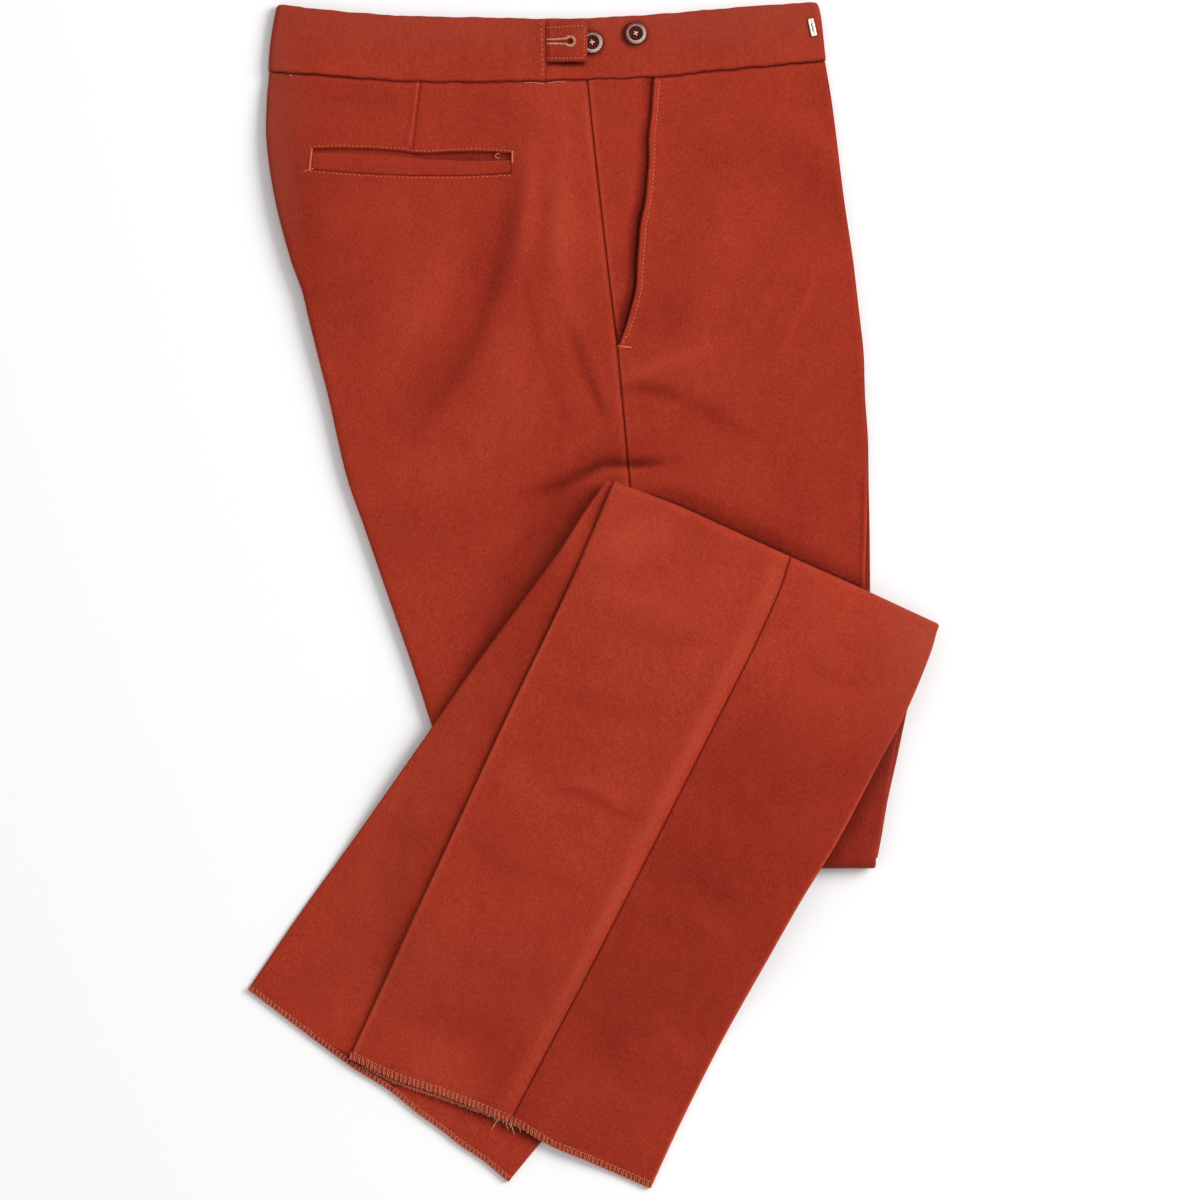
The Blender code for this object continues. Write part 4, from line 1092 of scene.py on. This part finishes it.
def button(name, thread_turn):
    """A turned four-hole button, with the thread that holds it."""
    middle_x, middle_y, base = centre_of("adjuster_" + name)
    sides = 72
    radii = join([linspace(0.15, 4.4, 24), linspace(4.7, BUTTON_RADIUS, 16)])
    back_radii, back_heights = array(BUTTON_BACK).T
    is_face = (np.arange(len(radii) + len(back_radii)) < len(radii))[:, None]
    heights = join([read(BUTTON_FACE, radii)[0], back_heights])[:, None]
    radii = join([radii, back_radii])[:, None]
    angle = linspace(0, 2 * PI, sides, endpoint=False)
    x, y = radii * cos(angle), radii * sin(angle)
    z, holes = heights + 0 * x, 0 * x
    for i in range(4):
        turn = thread_turn + (i + 0.5) * PI / 2
        away = hypot(x - BUTTON_HOLE * cos(turn), y - BUTTON_HOLE * sin(turn))
        z -= 1.2 * ramp(1.1 - away, 0, 0.45)
        holes += ramp(1.5 - away, 0, 0.6)
    place, faces = ring_faces(len(radii), sides)
    caps = [np.roll(place[0], 1).tolist(), np.roll(place[-1][::-1], 1).tolist()]
    # Painted highlights: a pale ring brightest on one side, a thin bright inner ring on the other, and a
    # lighter middle.
    wear_and_sheen = 0.5 + 0.5 * cos(angle - RIM_HIGHLIGHT)
    tone = (0.55 * bell(radii - 5.3, 0.45) * (1 - 0.6 * wear_and_sheen)
            + ramp(radii - 4.7, 0, 0.6) * ramp(7.6 - radii, 0, 0.6) * (0.3 + 0.62 * wear_and_sheen**1.5)
            + 0.22 * bell(radii, 4.4) * (1 - minimum(holes, 1)))
    mesh = make_mesh(name, grid(middle_x + x, middle_y + y, base + z),
                     faces[:, (0, 3, 2, 1)].tolist() + caps)
    add_object(name, mesh, "burgundy_horn", is_face * tone, "adjuster_" + name)
    paths = []
    for i in range(2):
        first = thread_turn + (i + 0.5) * PI / 2
        for aside in (-0.36, 0, 0.36):
            t = linspace(-1, 1, 11)
            bow = aside * (1 - 0.75 * abs(t))
            x = 1.1 * BUTTON_HOLE * t * cos(first) - bow * sin(first)
            y = 1.1 * BUTTON_HOLE * t * sin(first) + bow * cos(first)
            z = 1.75 + 0.5 * (1 - t**2) + 0.3 * i - 0.9 * (abs(t) > 0.95)
            paths.append(grid(middle_x + x, middle_y + y, base + z))
    tubes(name + "_thread", paths, 0.27, "thread_pink")


def waist_bar():
    """The metal bar for the hook, a stamped plate with a groove along its middle."""
    middle_x, middle_y, base = centre_of("waist_bar")
    half_long, half_wide, corner = BAR.long / 2, BAR.wide / 2, BAR.corner
    u, v = dense_ends(0.86, 9, 41)[:, None] * half_long, dense_ends(0.8, 6, 33)
    over = maximum(abs(u) - half_long + corner, 0)
    wide = half_wide - corner + np.sqrt(maximum(corner**2 - over**2, 0))
    along, across = u + 0 * v, wide * v
    edge = minimum(half_long - abs(along), wide - abs(across))
    slot = bell(across - BAR_SLOT.aside, BAR_SLOT.half)
    slot = slot * ramp(BAR_SLOT.long / 2 - abs(along), 0, 0.5)
    dish = ramp(edge - 0.75, 0, 0.35)
    z = 1 - 0.3 * bell(edge, 0.25) - 0.12 * dish - BAR_SLOT.deep * slot
    x = middle_x + across * math.cos(BAR.turn) - along * math.sin(BAR.turn)
    y = middle_y + across * math.sin(BAR.turn) + along * math.cos(BAR.turn)
    # Painted shade in the groove, and a little in the dish.
    shell("metal_waist_bar", grid(x, y, base + z), grid(x, y, base + 0 * z), "bright_nickel",
          -0.95 * slot - 0.1 * dish, "waist_bar")


# --- threads
def tubes(name, paths, radius, material, sides=6):
    """Round threads joined into one piece; each path is a run of points."""
    points, faces, first = [], [], 0
    angle = linspace(0, 2 * PI, sides, endpoint=False)
    for path in paths:
        run = np.gradient(path, axis=0)
        run /= np.linalg.norm(run, axis=1)[:, None]
        up = np.where(abs(run[:, 2:3]) > 0.9, (1, 0, 0), (0, 0, 1))
        side = np.cross(run, up)
        side /= np.linalg.norm(side, axis=1)[:, None]
        over = np.cross(side, run)
        thin = np.ones(len(path))
        thin[[0, -1]] = 0.55
        ring = (side[:, None] * cos(angle)[None, :, None]
                + over[:, None] * sin(angle)[None, :, None]) * (radius * thin)[:, None, None]
        points.append((path[:, None] + ring).reshape(-1, 3))
        place, sleeve = ring_faces(len(path), sides, first)
        faces += sleeve[:, (0, 3, 2, 1)].tolist() + [place[0].tolist(), place[-1].tolist()[::-1]]
        first += len(path) * sides
    return add_object(name, make_mesh(name, join(points), faces), material)


def even_places(x, y, pitch):
    """Points evenly spaced along a line in plan, and their running directions."""
    length = join([[0], np.cumsum(hypot(np.diff(x), np.diff(y)))])
    count = max(2, int(length[-1] / pitch))
    at = (np.arange(count) + 0.5) * length[-1] / count
    step = 0.5
    dx, dy = (np.interp(at + step, length, v) - np.interp(at - step, length, v) for v in (x, y))
    norm = hypot(dx, dy)
    return np.interp(at, length, x), np.interp(at, length, y), dx / norm, dy / norm


def stitches(x, y, surface, pitch=2.7, long=1.9, proud=0.36, seed=1):
    """A row of stitches along a line in plan, each lying on the surface."""
    chance = np.random.default_rng(seed)
    px, py, dx, dy = even_places(x, y, pitch)
    t = linspace(-0.5, 0.5, 5)
    size = long * (1 + chance.uniform(-0.12, 0.12, len(px)))
    aside = chance.normal(0, 0.12, len(px))
    sx = px[:, None] + t * (size * dx)[:, None] - (aside * dy)[:, None]
    sy = py[:, None] + t * (size * dy)[:, None] + (aside * dx)[:, None]
    return list(grid(sx, sy, surface(sx, sy) + proud * cos(PI * t) - 0.1))


def right_surface(x, y):
    return body_top(x, y) + (body_relief(x, y) + hip_pocket_relief(x, y) + dart_relief(x, y))


def front_surface(x, y):
    away = x - read(POCKET_MOUTH, y)[0] - mouth_wave(y)
    return body_top(x, y) + body_relief(x, y) + mouth_relief(x, y) + seam_relief(away)


def band_surface(x, y):
    seam, top = read(BAND_SECTIONS, x)
    return BAND_HIGH + 0.05 + tab_ridge(x - BAND_STEP, (y - seam) / (top - seam))


def pocket_threads():
    back, side = POCKET.back, POCKET.side
    x = linspace(back - 2.5, side, 90)
    low, _, lip = read(WELT_EDGES, x)
    paths = stitches(x, lip + 1.7, right_surface, pitch=2.85, long=1.3, seed=2)
    paths += stitches(x, low - 1.4, right_surface, pitch=3, long=1.4, seed=3)
    low, _, lip = read(WELT_EDGES, array([back, side]))
    t = linspace(0, 1, 22)

    # Long stitches across the pocket's ends and a loose one, each on the height beside it.
    def lay(x, y, beside_x, beside_y, lift):
        paths.append(grid(x, y, right_surface(beside_x + 0 * y, beside_y) + lift))

    for aside in (0, 0.5):
        lay(back - 0.4 - 1.6 * t + aside, mix(lip[0] + 0.6, low[0] - 0.4, t), back - 3,
            mix(lip[0], low[0], t), 0.3)
    lay(back - 6 + 7 * t, low[0] - 1.5 + 2.2 * t, back - 6 + 4 * t, low[0] - 1.8 + 0 * t, 0.25)
    for aside in (0, 0.45):
        lay(side + 0.5 + aside, mix(lip[1] + 2, lip[1] - 6.5, t), side + 2,
            mix(lip[1], low[1], t), 0.3)
    turn = linspace(0.6, 5.6, 18)
    lay(LOOP.x + LOOP.radius * cos(turn), LOOP.y + LOOP.radius * sin(turn), LOOP.beside_x,
        LOOP.beside_y + 0 * turn, 0.1)
    tubes("threads_hip_pocket", paths, 0.26, "thread_salmon")


def mouth_threads():
    y = linspace(MOUTH_FOOT + 1.5, 351.5, 120)
    x = read(POCKET_MOUTH, y)[0] + MOUTH_STITCH * ramp(y - MOUTH_FOOT, -5, 14)
    paths = stitches(x + 0.7 * mouth_wave(y), y, front_surface, pitch=2.85, long=1.8, proud=0.42, seed=5)
    t = linspace(0, 1, 12)
    for aside in (0, 0.5):
        x, y = (mix(*ends, t) for ends in FOOT_TACK)
        y = y - aside
        paths.append(grid(x, y, front_surface(x, y) + 0.2))
    tubes("threads_pocket_mouth", paths, 0.29, "thread_salmon")


def band_threads():
    y = linspace(353, 391, 40)
    x = mix(BAND_STEP - 1.3, BAND_STEP - 3.2, (y - y[0]) / (y[-1] - y[0]))
    paths = stitches(x, y, band_surface, pitch=3.35, long=1.8, seed=7)
    t = linspace(0, 1, 24)
    for place_x, long in BAND_TACKS:
        x = place_x + long * t
        y = band_seam(x) - 1.1 - 0.25 * sin(9 * t) - 0.35 * t
        paths.append(grid(x, y, right_surface(x, y) + 0.12))
    tubes("threads_band_step", paths, 0.29, "thread_salmon")


def tab_threads():
    inset, corner = 2.3, 1.8
    left, right = TAB.x1 + 0.5, TAB.x2 - inset
    low, high = TAB.y1 + inset, TAB.y2 - 2.9
    angle = linspace(0, PI / 2, 6)
    x = join([[left - 0.3], right - corner + corner * sin(angle),
              right - corner + corner * cos(angle), [left]])
    y = join([[high - 0.9], high - corner + corner * cos(angle),
              low + corner - corner * sin(angle), [low]])
    paths = stitches(x, y, lambda a, b: tab_top(a, b) - 0.05, pitch=2.5, long=1.25, seed=9)
    tubes("threads_tab", paths, 0.31, "thread_salmon")


def buttonhole_threads():
    """Close stitches side by side round the keyhole buttonhole."""
    open_angle = math.asin((HOLE.apart + HOLE.flare) / HOLE.radius)
    neck = HOLE.eye - HOLE.radius * math.cos(open_angle)
    turn = linspace(PI - open_angle, -PI + open_angle, 26)
    t = linspace(0, 1, 26)
    leg_x, leg_y = mix(HOLE.end, neck, t), HOLE.apart + HOLE.flare * t**3
    px, py, dx, dy = even_places(
        join([leg_x, HOLE.eye + HOLE.radius * cos(turn), leg_x[::-1]]),
        HOLE.y + join([leg_y, HOLE.radius * sin(turn), -leg_y[::-1]]), 0.72)
    chance = np.random.default_rng(11)
    t = linspace(-1, 1, 5)
    half = 0.55 + 0.28 * ramp(px - neck + 2, 0, 3) + chance.uniform(-0.12, 0.2, len(px))
    sx = px[:, None] - (dy * half)[:, None] * t
    sy = py[:, None] + (dx * half)[:, None] * t
    z = tab_top(sx, sy) + 0.28 * (1 - t**2) + 0.02
    tubes("threads_buttonhole", list(grid(sx, sy, z)), 0.25, "thread_pale")


def overlock(name, leg, across_from, across_to, wide, seed):
    """The machine stitching that binds a raw hem, wrapped over its edge."""
    chance = np.random.default_rng(seed)
    across = np.arange(across_from, across_to, OVERLOCK_PITCH)
    across = across + chance.uniform(-0.3, 0.3, len(across))
    # How far in from the edge, how far aside and how high above the cloth.
    inward, aside, lift = array((
        (wide, -1.3, 0.1), (wide * 0.5, -0.65, 0.35), (0.4, -0.1, 0.3), (-0.5, 0, -0.3),
        (-0.5, 0.3, -0.95), (0.6, 0.9, -1.35))).T
    paths = []
    for a, s in zip(read(leg.hem, across)[0], across):
        size = 1 + chance.uniform(-0.1, 0.1)
        for strand in (-0.5, 0.5):
            loose = strand * (1 + 0.5 * chance.uniform(-1, 1, len(lift)))
            x, y = leg.to_plan(a - inward * size, s + aside + loose)
            paths.append(grid(x, y, leg.top(x, y) + lift))
    across = linspace(across_from, across_to, 160)
    x, y = leg.to_plan(read(leg.hem, across)[0] - wide, across)
    paths += stitches(x, y, lambda a, b: leg.top(a, b) + 0.15, pitch=OVERLOCK_PITCH, long=2.2,
                      seed=seed + 1)
    tubes(name, paths, 0.22, "thread_rust", sides=5)


def frayed_threads():
    """Loose ends that hang out from under the right hem: some listed one by one, many small ones."""
    chance = np.random.default_rng(41)
    loose = list(FRAYED)
    for across_from, across_to, count, long in FRAYED_STRETCHES:
        for _ in range(count):
            loose.append((chance.uniform(across_from, across_to), long * chance.uniform(0.35, 1),
                          chance.normal(0, 0.7), chance.normal(0, 0.6)))
    paths = []
    t = linspace(0, 1, 8)
    for across, length, heading, bend in loose:
        along = read(RIGHT_HEM, across)[0] - 0.8
        u = along + length * t * math.cos(heading) + 0.2 * bend * length * t**2
        v = across + length * t * math.sin(heading) + bend * length * t**2
        x, y = right_leg.to_plan(u, v)
        z = right_leg_top(x, y) - 0.9 - 1.5 * t + 0.5 * sin(PI * t)
        paths.append(grid(x, y, maximum(z, 0.3)))
    tubes("threads_frayed", paths, 0.13, "thread_raw", sides=4)


def under_fringe():
    """The bound edge of the right leg's lower layer, which peeps out under its hem."""
    chance = np.random.default_rng(51)
    across = np.arange(4, 112, 1.1)
    along = read(RIGHT_HEM, across)[0] + UNDER_PEEP * bell(across - PEEP_MIDDLE, PEEP_MIDDLE) - 0.1
    paths = []
    for a, s in zip(along, across):
        reach = chance.uniform(0.3, 1.3)
        aside = chance.uniform(-0.9, 0.9)
        x, y = right_leg.to_plan(a + array([-1.2, -0.2, 0.3, 0.3 + reach]),
                                 s + array([-0.4, 0, 0.2, 0.2 + aside]))
        paths.append(grid(x, y, right_leg_top(x, y) - 1.2 + array([0, 0.15, -0.1, -0.5])))
    tubes("threads_under_hem", paths, 0.17, "thread_rust", sides=4)


# --- materials
class Shader:
    """A new material, with short ways to add nodes and to set or link their inputs."""

    def __init__(self, name):
        self.material = bpy.data.materials.new(name)
        self.material.use_nodes = True
        self.tree = self.material.node_tree

    def feed(self, node, inputs):
        for key, value in inputs.items():
            if isinstance(value, bpy.types.NodeSocket):
                self.tree.links.new(value, node.inputs[key])
            else:
                node.inputs[key].default_value = value

    def add(self, kind, inputs, output=0, **settings):
        node = self.tree.nodes.new("ShaderNode" + kind)
        for key, value in settings.items():
            setattr(node, key, value)
        self.feed(node, inputs)
        return node.outputs[output]

    def surface(self, **inputs):
        """Inputs of the surface; an underscore stands for a space in their names."""
        named = {key.replace("_", " "): value for key, value in inputs.items()}
        self.feed(self.tree.nodes["Principled BSDF"], named)

    def place(self, stretch=(1, 1, 1), turn=0):
        place = self.add("TexCoord", {}, "Object")
        return self.add("Mapping", {"Vector": place, "Scale": stretch, "Rotation": (0, 0, turn)})

    def tone(self):
        return self.add("Attribute", {}, "Fac", attribute_name="tone")

    def noise(self, place, scale, detail=2):
        return self.add("TexNoise", {"Vector": place, "Scale": scale, "Detail": detail})

    def maths(self, operation, first, second):
        return self.add("Math", {0: first, 1: second}, operation=operation)

    def bump(self, height, strength, distance):
        return self.add("Bump", {"Height": height, "Strength": strength, "Distance": distance})

    def fade(self, value, start, end):
        """0 up to `start`, 1 from `end` on."""
        return self.add("MapRange", {"Value": value, "From Min": start, "From Max": end})

    def colours(self, factor, stops):
        colour = self.add("ValToRGB", {"Fac": factor})
        elements = colour.node.color_ramp.elements
        while len(elements) < len(stops):
            elements.new(0.5)
        for element, (place, stop) in zip(elements, stops):
            element.position = place
            element.color = (*stop, 1)
        return colour


def painted_edge_sheen(shade, coordinates, colour):
    """Painted sheen: a browner, duller colour along the seat's edge, the fold's corner and the waist."""
    axes = shade.add("SeparateXYZ", {"Vector": coordinates}).node.outputs
    x, y = axes["X"], axes["Y"]
    seat = shade.maths("MULTIPLY", shade.fade(x, -0.192, -0.226), shade.fade(y, 0.14, 0.26))
    corner = shade.maths("MULTIPLY", shade.fade(x, 0.18, 0.245), 0.4)
    waist = shade.maths("MULTIPLY", shade.fade(y, 0.362, 0.4), 0.3)
    share = shade.maths("MAXIMUM", shade.maths("MULTIPLY", seat, 0.55),
                        shade.maths("MAXIMUM", corner, waist))
    return shade.add("Mix", {0: share, 6: colour, 7: (*RUST_EDGE_SHEEN, 1)}, 2, data_type="RGBA")


def moleskin():
    """Brushed cotton: a short, slightly patchy nap with a soft sheen."""
    shade = Shader("moleskin_rust")
    plain, brushed = shade.place(), shade.place((1, 0.55, 1))
    # The tone attribute brings the painted light and shade; the noises add the nap's own patchiness.
    factor = shade.maths("ADD", shade.tone(), 0.5)
    for place, scale, detail, share in ((plain, 20, 3, 0.28), (brushed, 110, 3, 0.2),
                                        (brushed, 800, 2, 0.55), (plain, 1500, 1, 0.8)):
        offset = shade.maths("SUBTRACT", shade.noise(place, scale, detail), 0.5)
        factor = shade.maths("ADD", factor, shade.maths("MULTIPLY", offset, share))
    factor = shade.maths("MULTIPLY", shade.maths("ADD", factor, 0.5), 2 / 3)
    # The darkest stop serves the deepest painted shadows.
    deep = tuple(0.4 * c for c in RUST_DARK)
    colour = shade.colours(factor, ((0, deep), (1 / 3, RUST_DARK), (2 / 3, RUST), (1, RUST_LIGHT)))
    height = shade.maths("ADD", shade.noise(brushed, 900),
                         shade.maths("MULTIPLY", shade.noise(plain, 2400, 1), 0.6))
    shade.surface(Base_Color=painted_edge_sheen(shade, plain, colour), Normal=shade.bump(height, 0.45, 0.00022),
                  Roughness=0.9, Specular_IOR_Level=0.06, Sheen_Weight=0.12, Sheen_Roughness=0.5,
                  Sheen_Tint=(1, 0.42, 0.28, 1))


def thread_material(name, colour):
    shade = Shader(name)
    plain = shade.place()
    darker = tuple(0.7 * c for c in colour)
    lighter = tuple(min(1, 1.2 * c) for c in colour)
    shade.surface(Base_Color=shade.colours(shade.noise(plain, 700), ((0.25, darker), (0.75, lighter))),
                  Normal=shade.bump(shade.noise(plain, 4000), 0.4, 0.0001), Roughness=0.7,
                  Specular_IOR_Level=0.15)


def horn_material():
    """Dark burgundy horn, with a paler painted highlight on its rim."""
    shade = Shader("burgundy_horn")
    place = shade.place((1, 2.2, 1), 0.7)
    streaks = shade.maths("SUBTRACT", shade.noise(place, 420, 3), 0.5)
    factor = shade.maths("ADD", shade.tone(), shade.maths("MULTIPLY", streaks, 0.45))
    stops = ((0, HORN), (0.2, HORN_WINE), (0.45, HORN_MIDDLE), (1, HORN_RIM_HIGHLIGHT))
    rough = shade.maths("ADD", shade.maths("MULTIPLY", shade.noise(place, 900), 0.2), 0.22)
    shade.surface(Base_Color=shade.colours(factor, stops), Specular_IOR_Level=0.12, Roughness=rough,
                  Normal=shade.bump(shade.noise(place, 1800), 0.12, 0.0001))


def nickel_material():
    shade = Shader("bright_nickel")
    brushed = shade.place((6, 1, 1), 0.21)
    wear_and_sheen = shade.maths("MULTIPLY", shade.noise(brushed, 900), 0.12)
    factor = shade.maths("ADD", shade.maths("ADD", shade.tone(), 0.9), wear_and_sheen)
    rough = shade.maths("ADD", shade.maths("MULTIPLY", shade.noise(brushed, 1500), 0.1), 0.5)
    shade.surface(Base_Color=shade.colours(factor, ((0, SLOT_SHADE), (1, NICKEL))), Metallic=1,
                  Roughness=rough)


# --- stage
def place_object(name, data, location=(0, 0, 0)):
    placed = bpy.data.objects.new(name, data)
    placed.location = location
    bpy.context.collection.objects.link(placed)
    return placed


def floor():
    """A plain pale floor just under the cloth."""
    size, down = 6, -0.0004
    mesh = bpy.data.meshes.new("floor")
    mesh.from_pydata([(x, y, down) for x, y in ((-size, -size), (size, -size), (size, size), (-size, size))],
                     [], [(0, 1, 2, 3)])
    shade = Shader("pale_floor")
    shade.surface(Base_Color=(0.93, 0.93, 0.93, 1), Roughness=0.9)
    mesh.materials.append(shade.material)
    place_object("floor", mesh)


def studio_light():
    """A bright, even room and one large soft light from the right."""
    world = bpy.data.worlds.new("studio")
    world.use_nodes = True
    sky = world.node_tree.nodes["Background"]
    sky.inputs["Color"].default_value = (1, 1, 1, 1)
    sky.inputs["Strength"].default_value = 0.62
    bpy.context.scene.world = world
    lamp = bpy.data.lights.new("soft_light", "AREA")
    lamp.shape = "DISK"
    lamp.size = 2.6
    lamp.energy = 172
    light = place_object("soft_light", lamp, (3.2, 1.4, 2.75))
    light.rotation_euler = (-light.location.normalized()).to_track_quat("-Z", "Y").to_euler()


def camera():
    """Straight above, from far enough for an almost parallel view."""
    lens, sensor, wide = 200, 36, 0.816
    eye = bpy.data.cameras.new("camera")
    eye.lens = lens
    eye.sensor_width = sensor
    eye.clip_end = 50
    bpy.context.scene.camera = place_object("camera", eye, (0.0048, -0.0024, wide * lens / sensor + 0.01))


# --- everything
def build():
    bpy.context.scene.view_settings.view_transform = "Standard"
    moleskin()
    horn_material()
    nickel_material()
    for name, colour in THREADS.items():
        thread_material(name, colour)
    for name, is_right, is_front in (("right_back", True, False), ("right_front", True, True),
                                     ("left_back", False, False), ("left_front", False, True)):
        body_panel(name, is_right, is_front)
    side_pocket_facing()
    hip_pocket_welt()
    body_inner_layers()
    legs()
    band_piece("waistband_right_back", BAND_BACK, BAND_STEP - 0.06, is_right=True)
    band_piece("waistband_right_front", BAND_STEP, BAND_FRONT, is_right=True)
    band_piece("waistband_left", BAND_BACK, BAND_FRONT, is_right=False)
    adjuster_tab()
    button("button_back", thread_turn=0.96)
    button("button_front", thread_turn=-0.31)
    waist_bar()
    pocket_threads()
    mouth_threads()
    band_threads()
    tab_threads()
    buttonhole_threads()
    overlock("threads_right_hem", right_leg, -6, 215.5, wide=4.2, seed=21)
    overlock("threads_left_hem", left_leg, 6, 225.5, wide=3.2, seed=31)
    frayed_threads()
    under_fringe()
    floor()
    studio_light()
    camera()


build()
